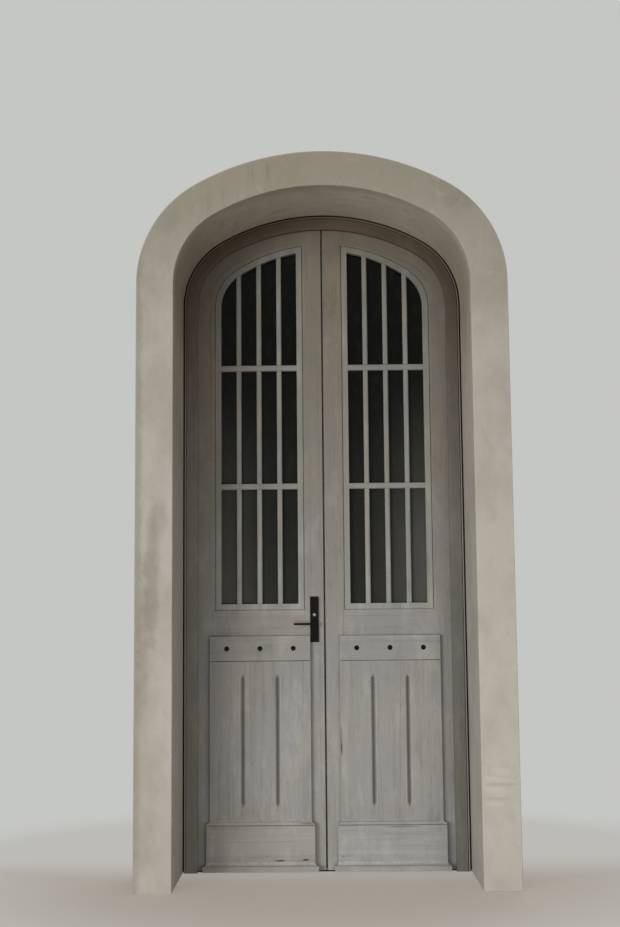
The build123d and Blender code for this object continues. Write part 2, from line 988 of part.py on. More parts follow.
def cylinder_plug():
    """Turning plug with a key slot in each end."""
    reach = leaf_back + plate_thickness + cylinder_proud
    half = key_slot / 2
    with BuildPart() as plug:
        round_bar(handle_x, cylinder_height, plug_radius, (-reach, reach))
        for depths in ((-reach, key_slot_deep - reach), (reach - key_slot_deep, reach)):
            block(
                (handle_x - half, handle_x + half),
                depths,
                (cylinder_height - key_slot_tall / 2, cylinder_height + key_slot_tall / 2),
                mode=Mode.SUBTRACT,
            )
        to_side("left")
    return plug


def bolt_ways(x, relief):
    """Ways for the latch and the deadbolt through the lock, with a sliding fit."""
    latch_y = latch_thickness / 2 + relief
    latch_z = latch_height / 2 + relief
    dead_y = deadbolt_thickness / 2 + relief
    dead_z = deadbolt_height / 2 + relief
    block(
        (x, latch_end + relief),
        (-latch_y, latch_y),
        (lever_height - latch_z, lever_height + latch_z),
        mode=Mode.SUBTRACT,
    )
    block(
        (x, deadbolt_end + relief),
        (-dead_y, dead_y),
        (cylinder_height - dead_z, cylinder_height + dead_z),
        mode=Mode.SUBTRACT,
    )


def lock_case():
    """Mortise lock case with ways for bolts, spindle and cylinder."""
    half = case_thickness / 2
    with BuildPart() as case:
        block((case_front, case_end), (-half, half), (case_bottom, case_top))
        bolt_ways(case_front, bolt_relief)
        round_bar(handle_x, lever_height, case_way, (-half, half), mode=Mode.SUBTRACT)
        round_bar(handle_x, cylinder_height, cylinder_radius, (-half, half), mode=Mode.SUBTRACT)
        to_side("left")
    return case


def lock_forend():
    """Forend plate let into the meeting edge."""
    with BuildPart() as plate:
        block((leaf_meeting, case_front), (-forend_width / 2, forend_width / 2), forend_levels)
        bolt_ways(leaf_meeting, bolt_relief)
        to_side("left")
    return plate


def latch_bolt():
    """Latch bevelled on the side that meets the strike first, drawn back at rest."""
    with BuildPart() as latch:
        block(
            (bolt_rest, latch_end),
            (-latch_thickness / 2, latch_thickness / 2),
            (lever_height - latch_height / 2, lever_height + latch_height / 2),
        )
        nose = latch.edges().filter_by(Axis.Z).group_by(Axis.X)[0].sort_by(Axis.Y)[0]
        chamfer(nose, length=latch_bevel)
        to_side("left")
    return latch


def deadbolt():
    """Square deadbolt, drawn back at rest."""
    with BuildPart() as bolt:
        block(
            (bolt_rest, deadbolt_end),
            (-deadbolt_thickness / 2, deadbolt_thickness / 2),
            (cylinder_height - deadbolt_height / 2, cylinder_height + deadbolt_height / 2),
        )
        to_side("left")
    return bolt


# Strike and flush bolts of the right leaf

def strike_plate():
    """Strike plate let into the meeting edge, with a window for each bolt."""
    with BuildPart() as plate:
        block(
            (leaf_meeting, leaf_meeting + forend_thickness),
            (-forend_width / 2, forend_width / 2),
            strike_levels,
        )
        strike_windows(leaf_meeting, forend_thickness, forend_thickness)
    return plate


def thumb_span(low, up):
    """Levels of the thumb piece at rest, at the end of the channel it starts from."""
    middle = low + flush_channel_height / 2
    shift = top_bolt_travel if up else -bottom_bolt_travel
    return middle - flush_thumb / 2 - shift / 2, middle + flush_thumb / 2 - shift / 2


def flush_bolt(low, tip, up):
    """Rod with a thumb piece that shows through the edge plate."""
    thumb = thumb_span(low, up)
    half = flush_thumb_width / 2
    rod = (thumb[0], tip) if up else (tip, thumb[1])
    with BuildPart() as bolt:
        upright_bar(flush_x, 0, flush_radius, rod)
        block((leaf_meeting + flush_setback, flush_x), (-half, half), thumb)
    return bolt


def flush_bolt_plates():
    """Edge plates of the two flush bolts, each with a slot for the thumb piece."""
    half = flush_channel_width / 2
    slot = flush_thumb_width / 2 + flush_slot_relief
    with BuildPart() as plates:
        for low, up, travel in (
            (top_channel_bottom, True, top_bolt_travel),
            (bottom_channel_bottom, False, bottom_bolt_travel),
        ):
            block(
                (leaf_meeting, leaf_meeting + flush_plate),
                (-half, half),
                (low, low + flush_channel_height),
            )
            thumb = thumb_span(low, up)
            rise = travel if up else 0
            drop = 0 if up else travel
            block(
                (leaf_meeting, leaf_meeting + flush_plate),
                (-slot, slot),
                (thumb[0] - drop - flush_slot_relief, thumb[1] + rise + flush_slot_relief),
                mode=Mode.SUBTRACT,
            )
    return plates


def brush_strip(side):
    """Brush strip on the meeting edge; the two close the gap but for a hair."""
    back = leaf_back - brush_setback
    top = opening_crown - leaf_inset - leaf_clearance
    with BuildPart() as strip:
        block((brush_relief, leaf_meeting), (back - brush_thickness, back), (leaf_bottom, top))
        to_side(side)
    return strip


# Build and write every piece

save(stone_surround(), "stone_surround")
save(frame_jamb("left"), "frame_jamb_left")
save(frame_jamb("right"), "frame_jamb_right")
save(frame_head(), "frame_head")
save(head_keep(), "head_keep")
save(perimeter_seal(), "perimeter_seal")
save(weather_seal(), "weather_seal")
save(threshold(), "threshold")
save(frame_hinge_plates(), "frame_hinge_plates")
save(hinge_pins(), "hinge_pins")

for hand in ("left", "right"):
    save(hinge_stile(hand), f"{hand}_hinge_stile")
    save(meeting_stile(hand), f"{hand}_meeting_stile")
    save(top_rail(hand), f"{hand}_top_rail")
    save(cross_rail(hand, leaf_bottom, bottom_rail_top), f"{hand}_bottom_rail")
    save(cross_rail(hand, lock_rail_bottom, lock_rail_top), f"{hand}_lock_rail")
    save(inner_panel(hand), f"{hand}_inner_panel")
    save(fluted_board(hand), f"{hand}_fluted_board")
    save(nail_batten(hand), f"{hand}_nail_batten")
    save(stud_nails(hand), f"{hand}_stud_nails")
    save(plinth(hand), f"{hand}_plinth")
    save(base_moulding(hand), f"{hand}_base_moulding")
    save(grille_frame(hand), f"{hand}_grille_frame")
    save(upright_bars(hand), f"{hand}_upright_bars")
    save(cross_bars(hand), f"{hand}_cross_bars")
    save(glass_pane(hand), f"{hand}_glass_pane")
    save(glazing_bead(hand), f"{hand}_glazing_bead")
    save(leaf_hinge_plates(hand), f"{hand}_hinge_plates")
    save(brush_strip(hand), f"{hand}_brush_strip")

save(backplates(), "lock_backplates")
save(lever(inside=False), "outer_lever")
save(lever(inside=True), "inner_lever")
save(spindle(), "lever_spindle")
save(key_cylinder(), "key_cylinder")
save(cylinder_plug(), "cylinder_plug")
save(lock_case(), "lock_case")
save(lock_forend(), "lock_forend")
save(latch_bolt(), "latch_bolt")
save(deadbolt(), "deadbolt")

save(strike_plate(), "strike_plate")
save(
    flush_bolt(top_channel_bottom, opening_crown - leaf_inset - 2 * flush_setback, up=True),
    "top_flush_bolt",
)
save(flush_bolt(bottom_channel_bottom, leaf_bottom + flush_setback, up=False), "bottom_flush_bolt")
save(flush_bolt_plates(), "flush_bolt_plates")
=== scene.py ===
"""Dresses the packed arched double door: weathered timber, lime stone, dark panes, black iron."""

import json
import math
import random

import bmesh
import bpy
from mathutils import Matrix, Vector


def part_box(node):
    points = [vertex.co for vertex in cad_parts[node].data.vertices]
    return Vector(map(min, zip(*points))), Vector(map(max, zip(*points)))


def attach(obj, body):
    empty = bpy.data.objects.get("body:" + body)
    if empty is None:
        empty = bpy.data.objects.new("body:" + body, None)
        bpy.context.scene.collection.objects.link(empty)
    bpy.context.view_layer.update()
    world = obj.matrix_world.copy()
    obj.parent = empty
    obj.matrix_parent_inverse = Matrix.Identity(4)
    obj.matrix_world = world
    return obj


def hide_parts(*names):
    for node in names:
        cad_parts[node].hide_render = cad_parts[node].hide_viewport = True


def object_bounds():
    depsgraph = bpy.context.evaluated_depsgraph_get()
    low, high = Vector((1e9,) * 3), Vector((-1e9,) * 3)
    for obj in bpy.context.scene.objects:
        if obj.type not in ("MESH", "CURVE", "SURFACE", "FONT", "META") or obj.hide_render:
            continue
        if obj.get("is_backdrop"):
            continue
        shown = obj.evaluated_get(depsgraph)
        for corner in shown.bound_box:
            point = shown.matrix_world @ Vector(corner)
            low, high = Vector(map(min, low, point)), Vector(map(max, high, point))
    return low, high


bl_info = {
    "name": "Arched Timber Double Door",
    "version": (1, 0, 0),
    "blender": (4, 5, 0),
    "location": "View3D > Sidebar > Arched Door",
    "description": "Finishes an arched double door in its stone surround, piece by piece",
    "category": "Object",
}

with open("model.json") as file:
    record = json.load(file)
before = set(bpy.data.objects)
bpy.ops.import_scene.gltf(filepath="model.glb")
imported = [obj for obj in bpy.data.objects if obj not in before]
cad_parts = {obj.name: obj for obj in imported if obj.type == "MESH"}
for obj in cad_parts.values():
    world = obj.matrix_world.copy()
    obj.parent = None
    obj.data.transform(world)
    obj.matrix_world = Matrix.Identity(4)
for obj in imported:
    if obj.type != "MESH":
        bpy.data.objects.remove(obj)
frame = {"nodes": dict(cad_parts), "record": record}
CAD_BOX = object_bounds()

MM = 0.001
SIDES = ("left", "right")

SPRINGING = 2.650
OPENING_HALF = 0.6625
HAUNCH_RADIUS = 0.362
HAUNCH_CENTRE = 0.3005
CROWN_RADIUS = 0.970
CROWN_CENTRE = 2.122
HAUNCH_TURN = math.atan2(SPRINGING - CROWN_CENTRE, HAUNCH_CENTRE)
QUARTER_TURN = math.pi / 2

HINGE_LEVELS = (0.250, 0.98333, 1.71667, 2.450)
HINGE_SCREW_ROWS = (-0.036, -0.012, 0.012, 0.036)
HINGE_SCREW_DEPTH = 0.003
HINGE_SCREW_STAGGER = 0.012
LEAF_EDGE = 0.603
REBATE_FACE = 0.606
FLUSH_PLATES = ((0.300, 0.500), (1.800, 2.000))
THRESHOLD_SCREWS = (-0.54, -0.27, 0.27, 0.54)
PLATE_SCREW_INSET = 0.009
STRIKE_SCREW_INSET = 0.008
KEEP_SCREW_REACH = 0.0155

SCREW_SEAT = 0.4 * MM
SCREW_HEIGHT = 0.7 * MM
KEEP_SCREW_RADIUS = 2.8 * MM
STUD_HEIGHT = 4.0 * MM
STUD_RIM = 0.9 * MM
STUD_UNEVEN = 0.35
FIT = 0.2 * MM

# Each ring on a screw's or a stud's head: its share of the radius and its rise in mm
SCREW_RINGS = ((0.12, 0.15), (0.40, 0.0), (0.06, -0.5))
STUD_RINGS = ((0.10, 0.9), (0.22, 1.1), (0.26, 0.7), (0.20, 0.3))

# The bristles' tips end this many mm before the middle of the gap
BRISTLE_TIPS = (0.04, 0.16)
BRISTLE_ROWS = 600
BRISTLE_TOP_GAP = 1.0 * MM

SHARP_ANGLE = math.radians(38)
SHADED_SHARP_ANGLE = math.radians(48)
FLAT_ANGLE = math.radians(0.6)
MERGE_REACH = 0.02 * MM
NARROWEST_BAND = 0.2 * MM
BAND_SHARE = 0.3

SCUFF = (0.055, 0.048, 0.040)
RUB = (0.20, 0.18, 0.15)
# The colour of painted shade in the stone's joint with the frame.
JOINT_SHADE = (0.020, 0.017, 0.013)

# Each mark on the timber: its middle in x and z, its half size, its strength and its colour
BOARD_MARKS = (
    ((0.072, 0.60), (0.004, 0.060), 0.7, RUB),
    ((0.073, 0.56), (0.003, 0.030), 0.8, SCUFF),
)

PLINTH_MARKS = (
    ((-0.215, 0.056), (0.022, 0.0035), 0.90, SCUFF),
    ((-0.097, 0.059), (0.015, 0.0045), 0.90, SCUFF),
    ((-0.087, 0.221), (0.030, 0.0040), 0.45, SCUFF),
    ((0.357, 0.205), (0.070, 0.0035), 0.35, SCUFF),
    ((0.0, 0.2128), (1.2, 0.0022), 0.60, SCUFF),
)

# Each dark mark or scrape on the stone: its middle in x and z, its half size and its strength
STONE_STAINS = (
    # The first darkens a long band along the outer edge of the left jamb.
    ((-0.825, 1.50), (0.024, 1.80), 0.45),
    ((-0.755, 1.32), (0.030, 0.26), 0.50),
    ((-0.728, 1.60), (0.034, 0.08), 0.34),
    ((-0.790, 1.05), (0.022, 0.30), 0.35),
    ((0.740, 0.445), (0.060, 0.007), 0.20),
    ((0.725, 0.385), (0.050, 0.007), 0.20),
    ((-0.700, 2.93), (0.060, 0.050), 0.20),
    ((0.640, 3.02), (0.110, 0.040), 0.28),
)

STONE_SCRAPES = (
    ((0.750, 0.500), (0.045, 0.014), 0.26),
    ((0.735, 0.465), (0.065, 0.010), 0.30),
    ((0.730, 0.420), (0.060, 0.012), 0.28),
    ((0.715, 0.362), (0.045, 0.009), 0.22),
)
SCRAPE_SLOPE = 0.12

CAMERA_PLACE = (-0.0182, -6.4671, 1.1478)
CAMERA_YAW = math.radians(-0.3934)
CAMERA_PITCH = math.radians(6.559)
CAMERA_ROLL = math.radians(-0.5014)
FLOOR_RADIUS = 6.0

# Each soft light: its setting, its place, what it looks at, its size and its colour
SOFT_LIGHTS = (
    ("low_light", (-8.0, -11.8, 1.8), (0.1, -0.2, 1.0), (6.5, 4.2), (1.0, 1.0, 0.985)),
    ("front_light", (0.5, -3.0, 0.4), (0.2, 0.0, 0.3), (2.4, 0.7), (1.0, 1.0, 1.0)),
    ("back_light", (3.0, 9.0, 3.5), (0.0, 0.0, 1.4), (6.0, 4.0), (1.0, 1.0, 1.0)),
)
SKY_SIDES = (1.0, 0.95, 0.86)
SKY_OVERHEAD = (0.42, 0.37, 0.30)
FLOOR_SEEN = (0.50, 0.46, 0.41)


def colour_setting(name, description, default):
    return bpy.props.FloatVectorProperty(
        name=name, description=description, default=default,
        subtype="COLOR", size=3, min=0.0, max=1.0,
    )


def length_setting(name, description, default):
    return bpy.props.FloatProperty(
        name=name, description=description, default=default,
        min=0.0, max=0.1, unit="LENGTH", precision=4,
    )


def share_setting(name, description, default):
    return bpy.props.FloatProperty(
        name=name, description=description, default=default, min=0.0, max=1.0, subtype="FACTOR"
    )


def strength_setting(name, description, default):
    return bpy.props.FloatProperty(name=name, description=description, default=default, min=0.0)


class DoorTimber(bpy.types.PropertyGroup):
    """Colours and wear of the oak"""

    wash: colour_setting("Paint wash", "The grey wash low on the leaves", (0.325, 0.320, 0.312))
    # The high wash is browner, and darker as painted shade.
    aged_and_shaded: colour_setting("Aged wash", "The browner wash high on the leaves", (0.212, 0.189, 0.156))
    # This dark colour is painted shade in inner corners, quirks, flutes and the meeting gap.
    crevice_shade: colour_setting("Grime", "The dirt in inner corners and quirks", (0.040, 0.033, 0.026))
    board: colour_setting("Boards", "The paler wash of the plinths", (0.350, 0.346, 0.338))
    frame: colour_setting("Frame", "The wash low on the frame", (0.240, 0.228, 0.204))
    # The head's brown wash is also darker as painted shade high under the stone.
    head: colour_setting("Frame head", "The brown wash of the arched head", (0.138, 0.108, 0.078))
    grille: colour_setting("Grille", "The cooler wash low on the bars", (0.340, 0.342, 0.334))
    # The bars' high wash is darker as painted shade.
    grille_high: colour_setting("Grille head", "The wash high on the bars", (0.240, 0.235, 0.220))
    grain_share: share_setting("Grain", "How strongly the grain shows through the wash", 0.34)
    rub_share: share_setting("Rubbed edges", "How pale the rubbed arrises are", 0.35)
    # How dark the painted shade in the inner corners is.
    crevice_shade_share: share_setting("Corner grime", "How dark the inner corners are", 0.70)
    grain_depth: length_setting("Grain depth", "Depth of the open grain", 0.0005)
    arris: length_setting("Arris", "Width of the softened timber edge", 0.0012)
    rubbed_band: length_setting("Rubbed band", "Width of the paler band along an edge", 0.0035)


class DoorStone(bpy.types.PropertyGroup):
    """Colours and wear of the lime stone"""

    face: colour_setting("Stone", "The trowelled lime surface", (0.455, 0.435, 0.392))
    shade: colour_setting("Shaded stone", "The darker patches of the lime", (0.335, 0.316, 0.260))
    stain: colour_setting("Stain", "Old damp stains", (0.212, 0.202, 0.164))
    # The crown colour is browner lime, and darker as painted shade.
    crown: colour_setting("Crown", "The browner lime of the crown", (0.258, 0.232, 0.178))
    pale: colour_setting("Pale lime", "Thin patches and fresh scrapes", (0.56, 0.54, 0.49))
    rubbed: colour_setting("Rubbed edge", "The pale rubbed arrises", (0.60, 0.57, 0.51))
    arris: length_setting("Arris", "Width of the softened stone edge", 0.003)
    rubbed_band: length_setting("Rubbed band", "Width of the paler band along an edge", 0.006)


class DoorMetal(bpy.types.PropertyGroup):
    """Colours of the ironwork and fittings"""

    iron: colour_setting("Black iron", "Backplates, levers and studs", (0.0060, 0.0056, 0.0050))
    steel: colour_setting("Steel", "Hinges, bolts and plates", (0.42, 0.42, 0.41))
    nickel: colour_setting("Nickel", "Key cylinder", (0.66, 0.64, 0.60))
    sill: colour_setting("Threshold", "Dull dark threshold plate", (0.045, 0.042, 0.038))
    screw_radius: length_setting("Screw head", "Radius of the countersunk screw heads", 0.0036)


class DoorGlass(bpy.types.PropertyGroup):
    """Colours of the panes and seals"""

    pane: colour_setting("Pane", "Dark room behind the glass", (0.0028, 0.0028, 0.0022))
    # The paler colour is a painted reflection in the panes, and also the colour of their dust.
    reflection_and_dust: colour_setting("Haze", "Paler reflection low in the panes", (0.085, 0.085, 0.078))
    rubber: colour_setting("Seal", "Seals of frame and leaves", (0.02, 0.019, 0.018))


class DoorStage(bpy.types.PropertyGroup):
    """Floor, light and camera"""

    floor: colour_setting("Floor", "Plain pale floor", (0.62, 0.585, 0.54))
    backdrop: colour_setting("Backdrop", "Plain pale surroundings", (0.56, 0.57, 0.55))
    low_light: strength_setting("Low light", "The large soft light at the front left", 1020.0)
    front_light: strength_setting("Front light", "The soft light near the foot of the door", 22.0)
    back_light: strength_setting("Back light", "The large soft light behind the door", 420.0)
    sky_light: strength_setting("Surrounding light", "The soft light from all sides", 0.48)
    lens: bpy.props.FloatProperty(
        name="Lens", description="Focal length of the camera",
        default=52.97, unit="CAMERA", min=10.0,
    )


def settings(group):
    """The door's settings of one group."""
    return getattr(bpy.context.scene, group)


class Value:
    """A number that changes over a surface, written in Python and made as nodes."""

    def __init__(self, finish, socket):
        self.finish = finish
        self.socket = socket

    def math(self, operation, *others, clamp=False):
        terms = dict(enumerate(others))
        made = self.finish.node(
            "ShaderNodeMath", {"operation": operation, "use_clamp": clamp}, terms
        )
        return Value(self.finish, made.outputs[0])

    def __add__(self, other):
        return self.math("ADD", self, other)

    __radd__ = __add__

    def __sub__(self, other):
        return self.math("SUBTRACT", self, other)

    def __rsub__(self, other):
        return self.math("SUBTRACT", other, self)

    def __mul__(self, other):
        return self.math("MULTIPLY", self, other)

    def __truediv__(self, other):
        return self.math("DIVIDE", self, other)

    def __pow__(self, other):
        return self.math("POWER", self, other)

    def __abs__(self):
        return self.math("ABSOLUTE", self)

    def above(self, edge):
        return self.math("GREATER_THAN", self, edge)

    def most(self, other):
        return self.math("MAXIMUM", self, other)

    def clamped(self):
        return self.math("ADD", self, 0.0, clamp=True)

    def rise(self, start, end, low=0.0, high=1.0):
        """low before start, high after end, smooth between."""
        made = self.finish.node(
            "ShaderNodeMapRange",
            {"interpolation_type": "SMOOTHSTEP"},
            {"Value": self, "From Min": start, "From Max": end, "To Min": low, "To Max": high},
        )
        return Value(self.finish, made.outputs["Result"])


class Finish:
    """One procedural material, built node by node."""

    def __init__(self, name, tree=None):
        if tree is None:
            self.material = bpy.data.materials.new(name)
            self.material.use_nodes = True
            tree = self.material.node_tree
        self.tree = tree
        self.tree.nodes.clear()

    def node(self, kind, settings=None, inputs=None):
        made = self.tree.nodes.new(kind)
        for key, value in (settings or {}).items():
            setattr(made, key, value)
        for key, value in (inputs or {}).items():
            socket = made.inputs[key]
            if isinstance(value, Value):
                value = value.socket
            if isinstance(value, bpy.types.NodeSocket):
                self.tree.links.new(value, socket)
            elif socket.type == "RGBA" and not isinstance(value, (int, float)):
                socket.default_value = (*value, 1.0)
            else:
                socket.default_value = value
        return made

    def axes(self):
        """Object coordinates as three values; every piece shares the door's own frame."""
        place = self.node("ShaderNodeTexCoord").outputs["Object"]
        split = self.node("ShaderNodeSeparateXYZ", inputs={"Vector": place})
        return [Value(self, socket) for socket in split.outputs]

    def vector(self, x, y, z):
        return self.node("ShaderNodeCombineXYZ", inputs={0: x, 1: y, 2: z}).outputs[0]

    def noise(self, x, y, z, detail=3.0, roughness=0.55, distortion=0.0):
        """Noise between 0 and 1 around 0.5 at the given stretched coordinates."""
        made = self.node(
            "ShaderNodeTexNoise",
            {"noise_dimensions": "3D"},
            {
                "Vector": self.vector(x, y, z),
                "Scale": 1.0,
                "Detail": detail,
                "Roughness": roughness,
                "Distortion": distortion,
            },
        )
        return Value(self, made.outputs[0])

    def mix(self, share, first, second, blend="MIX"):
        """From the first colour to the second as the share grows."""
        made = self.node(
            "ShaderNodeMix",
            {"data_type": "RGBA", "blend_type": blend, "clamp_factor": True},
            {0: share, 6: first, 7: second},
        )
        return made.outputs[2]

    def tinted(self, colour, tint):
        """A colour multiplied by a tint."""
        return self.mix(1.0, colour, tint, blend="MULTIPLY")

    def scaled(self, colour, share):
        """A colour made darker or paler as a whole."""
        made = self.node(
            "ShaderNodeVectorMath", {"operation": "SCALE"}, {"Vector": colour, "Scale": share}
        )
        return made.outputs["Vector"]

    def attribute(self, name):
        """A value that the piece's own mesh holds."""
        made = self.node(
            "ShaderNodeAttribute", {"attribute_name": name, "attribute_type": "GEOMETRY"}
        )
        return Value(self, made.outputs["Fac"])

    def bump(self, height, depth):
        """A bump of the given real depth for a height between 0 and 1."""
        inputs = {"Height": height, "Distance": depth, "Strength": 1.0}
        return self.node("ShaderNodeBump", inputs=inputs).outputs["Normal"]

    def surface(self, colour, roughness, metallic=0.0, normal=None, **constants):
        """Closes the material; the constants are further inputs of its shader."""
        inputs = {"Base Color": colour, "Roughness": roughness, "Metallic": metallic}
        if normal is not None:
            inputs["Normal"] = normal
        for key, value in constants.items():
            inputs[key.replace("_", " ")] = value
        shader = self.node("ShaderNodeBsdfPrincipled", inputs=inputs)
        self.node("ShaderNodeOutputMaterial", inputs={"Surface": shader.outputs[0]})
        return self.material


def patch(finish, x, z, place, size, rag, softness=0.35):
    """1 inside an oval mark of the given half size, with a ragged outline."""
    across = (x - place[0]) / size[0]
    up = (z - place[1]) / size[1]
    reach = (across * across + up * up) ** 0.5 + (rag - 0.5) * 1.6
    return 1.0 - reach.rise(1.0 - softness, 1.0 + softness)


def arch_run(x, z):
    """Along and across coordinates that follow the three-centred arch."""
    side = abs(x)
    crown_height = z - CROWN_CENTRE
    haunch_side = side - HAUNCH_CENTRE
    haunch_height = z - SPRINGING
    crown_turn = x.math("ARCTAN2", crown_height, side)
    haunch_turn = x.math("ARCTAN2", haunch_height.most(0.0001), haunch_side)
    crown_reach = (side * side + crown_height * crown_height) ** 0.5 - CROWN_RADIUS
    from_haunch = (haunch_side * haunch_side + haunch_height * haunch_height) ** 0.5
    haunch_reach = from_haunch - HAUNCH_RADIUS
    on_crown = crown_turn.above(HAUNCH_TURN)
    crown_run = (QUARTER_TURN - crown_turn) * CROWN_RADIUS
    crown_length = (QUARTER_TURN - HAUNCH_TURN) * CROWN_RADIUS
    haunch_run = (HAUNCH_TURN - haunch_turn) * HAUNCH_RADIUS + crown_length
    along = on_crown * crown_run + (1.0 - on_crown) * haunch_run
    across = on_crown * crown_reach + (1.0 - on_crown) * haunch_reach
    return along, across


def weathered_oak(name, run, low, high, marks=(), meets_stone=False, face_y=None):
    """Oak under a worn wash, low to high on the door. The grain runs upright, level or arched.

    What meets the stone has painted shade along its joint and in its quirk and a painted highlight
    on its bead; elsewhere the meeting gap gets painted shade. Grooves that sink in from face_y get
    painted shade, and the wash darkens as painted shade high up, towards the frame and in corners.
    """
    look = settings("door_timber")
    finish = Finish(name)
    x, y, z = finish.axes()
    if run == "upright":
        along, across = z, x
    elif run == "level":
        along, across = x, z
    else:
        along, across = arch_run(x, z)
    fine = finish.noise(across * 520.0, y * 520.0, along * 8.0, detail=3.0, roughness=0.6)
    broad = finish.noise(
        across * 70.0, y * 70.0, along * 1.6, detail=5.0, roughness=0.65, distortion=0.6
    )
    streak = finish.noise(across * 17.0, y * 17.0, along * 1.0, detail=4.0, distortion=0.8)
    patches = finish.noise(x * 11.0, y * 11.0, z * 5.0, detail=6.0, roughness=0.68)
    cloud = finish.noise(x * 3.4, y * 3.4, z * 2.4, detail=3.0)
    dents = finish.noise(x * 95.0, y * 95.0, z * 75.0, detail=1.0)
    worn = finish.attribute("edge_wear")
    crevice_shade = finish.attribute("corner_grime")

    # Darker and browner towards the top: the browner wash is the oak's own colour, the darkening is
    # painted shade under the soffit.
    height_up = z.rise(1.5, 3.0) if meets_stone else z.rise(0.35, 2.75)
    wash = finish.mix(height_up, low, high)
    above_springing = (z - 2.35).most(0.0)
    near_frame = (x * x + above_springing * above_springing) ** 0.5
    grain = fine.rise(0.48, 0.74) * 0.40 + broad.rise(0.50, 0.70) * 0.40
    tone = 1.0 - grain * look.grain_share
    tone = tone * streak.rise(0.50, 0.74, 1.0, 1.12) * streak.rise(0.47, 0.28, 1.0, 0.90)
    tone = tone * patches.rise(0.51, 0.64, 1.0, 1.13) * patches.rise(0.45, 0.31, 1.0, 0.86)
    # Painted shade towards the frame, in the corners of the recess.
    tone = tone * near_frame.rise(0.42, 0.68, 1.0, 0.72)
    # Painted shade on the frame, darker towards its right side.
    if meets_stone:
        tone = tone * x.rise(0.0, 0.6, 1.0, 0.84)
    tint = finish.mix(cloud.rise(0.40, 0.60), (1.03, 1.0, 0.955), (0.975, 1.0, 1.02))
    colour = finish.tinted(finish.scaled(wash, tone), tint)
    # Painted shade darkens the inner corners where the corner mask is 1.
    colour = finish.mix(crevice_shade * look.crevice_shade_share, colour, look.crevice_shade)
    if meets_stone:
        reach = across if run == "arched" else abs(x) - OPENING_HALF
        # Painted shade in the quirk and along the joint with the stone, and a painted highlight on
        # the bead.
        quirk = reach.rise(-0.0175, -0.0155) * reach.rise(-0.0120, -0.0138)
        joint = reach.rise(-0.009, -0.006) * 0.95
        bead = reach.rise(-0.0130, -0.0120)
        colour = finish.mix(bead * 0.45, colour, finish.scaled(wash, 1.45))
        colour = finish.mix(joint.most(quirk * 0.80), colour, look.crevice_shade)
    else:
        # Painted shade in the meeting gap between the leaves.
        seam = abs(x).rise(0.0048, 0.0030)
        colour = finish.mix(seam * 0.85, colour, look.crevice_shade)
    if face_y is not None:
        # Painted shade in the flutes and on the boards' sides, darker where deeper.
        depth = y - face_y
        sunk = depth.rise(0.004, 0.010) * 0.30 + depth.rise(0.001, 0.005) * 0.22
        colour = finish.mix(sunk, colour, look.crevice_shade)
    colour = finish.mix(dents.rise(0.765, 0.80) * 0.55, colour, SCUFF)
    rub = worn * finish.noise(x * 60.0, y * 60.0, z * 60.0).rise(0.25, 0.65)
    rub = rub * abs(z - SPRINGING).rise(0.004, 0.012) * abs(x).rise(0.005, 0.009)
    colour = finish.mix(rub * look.rub_share, colour, finish.scaled(wash, 1.7))
    for place, size, strength, tone in marks:
        rag = finish.noise(x * 70.0, y * 70.0, z * 120.0, detail=5.0, roughness=0.7)
        colour = finish.mix(patch(finish, x, z, place, size, rag) * strength, colour, tone)
    height = fine * 0.35 + broad * 0.5 + patches * 0.15 - dents.rise(0.76, 0.80) * 0.6
    normal = finish.bump(height, look.grain_depth)
    roughness = 0.64 + streak * 0.14
    return finish.surface(colour, roughness, normal=normal, Specular_IOR_Level=0.3)


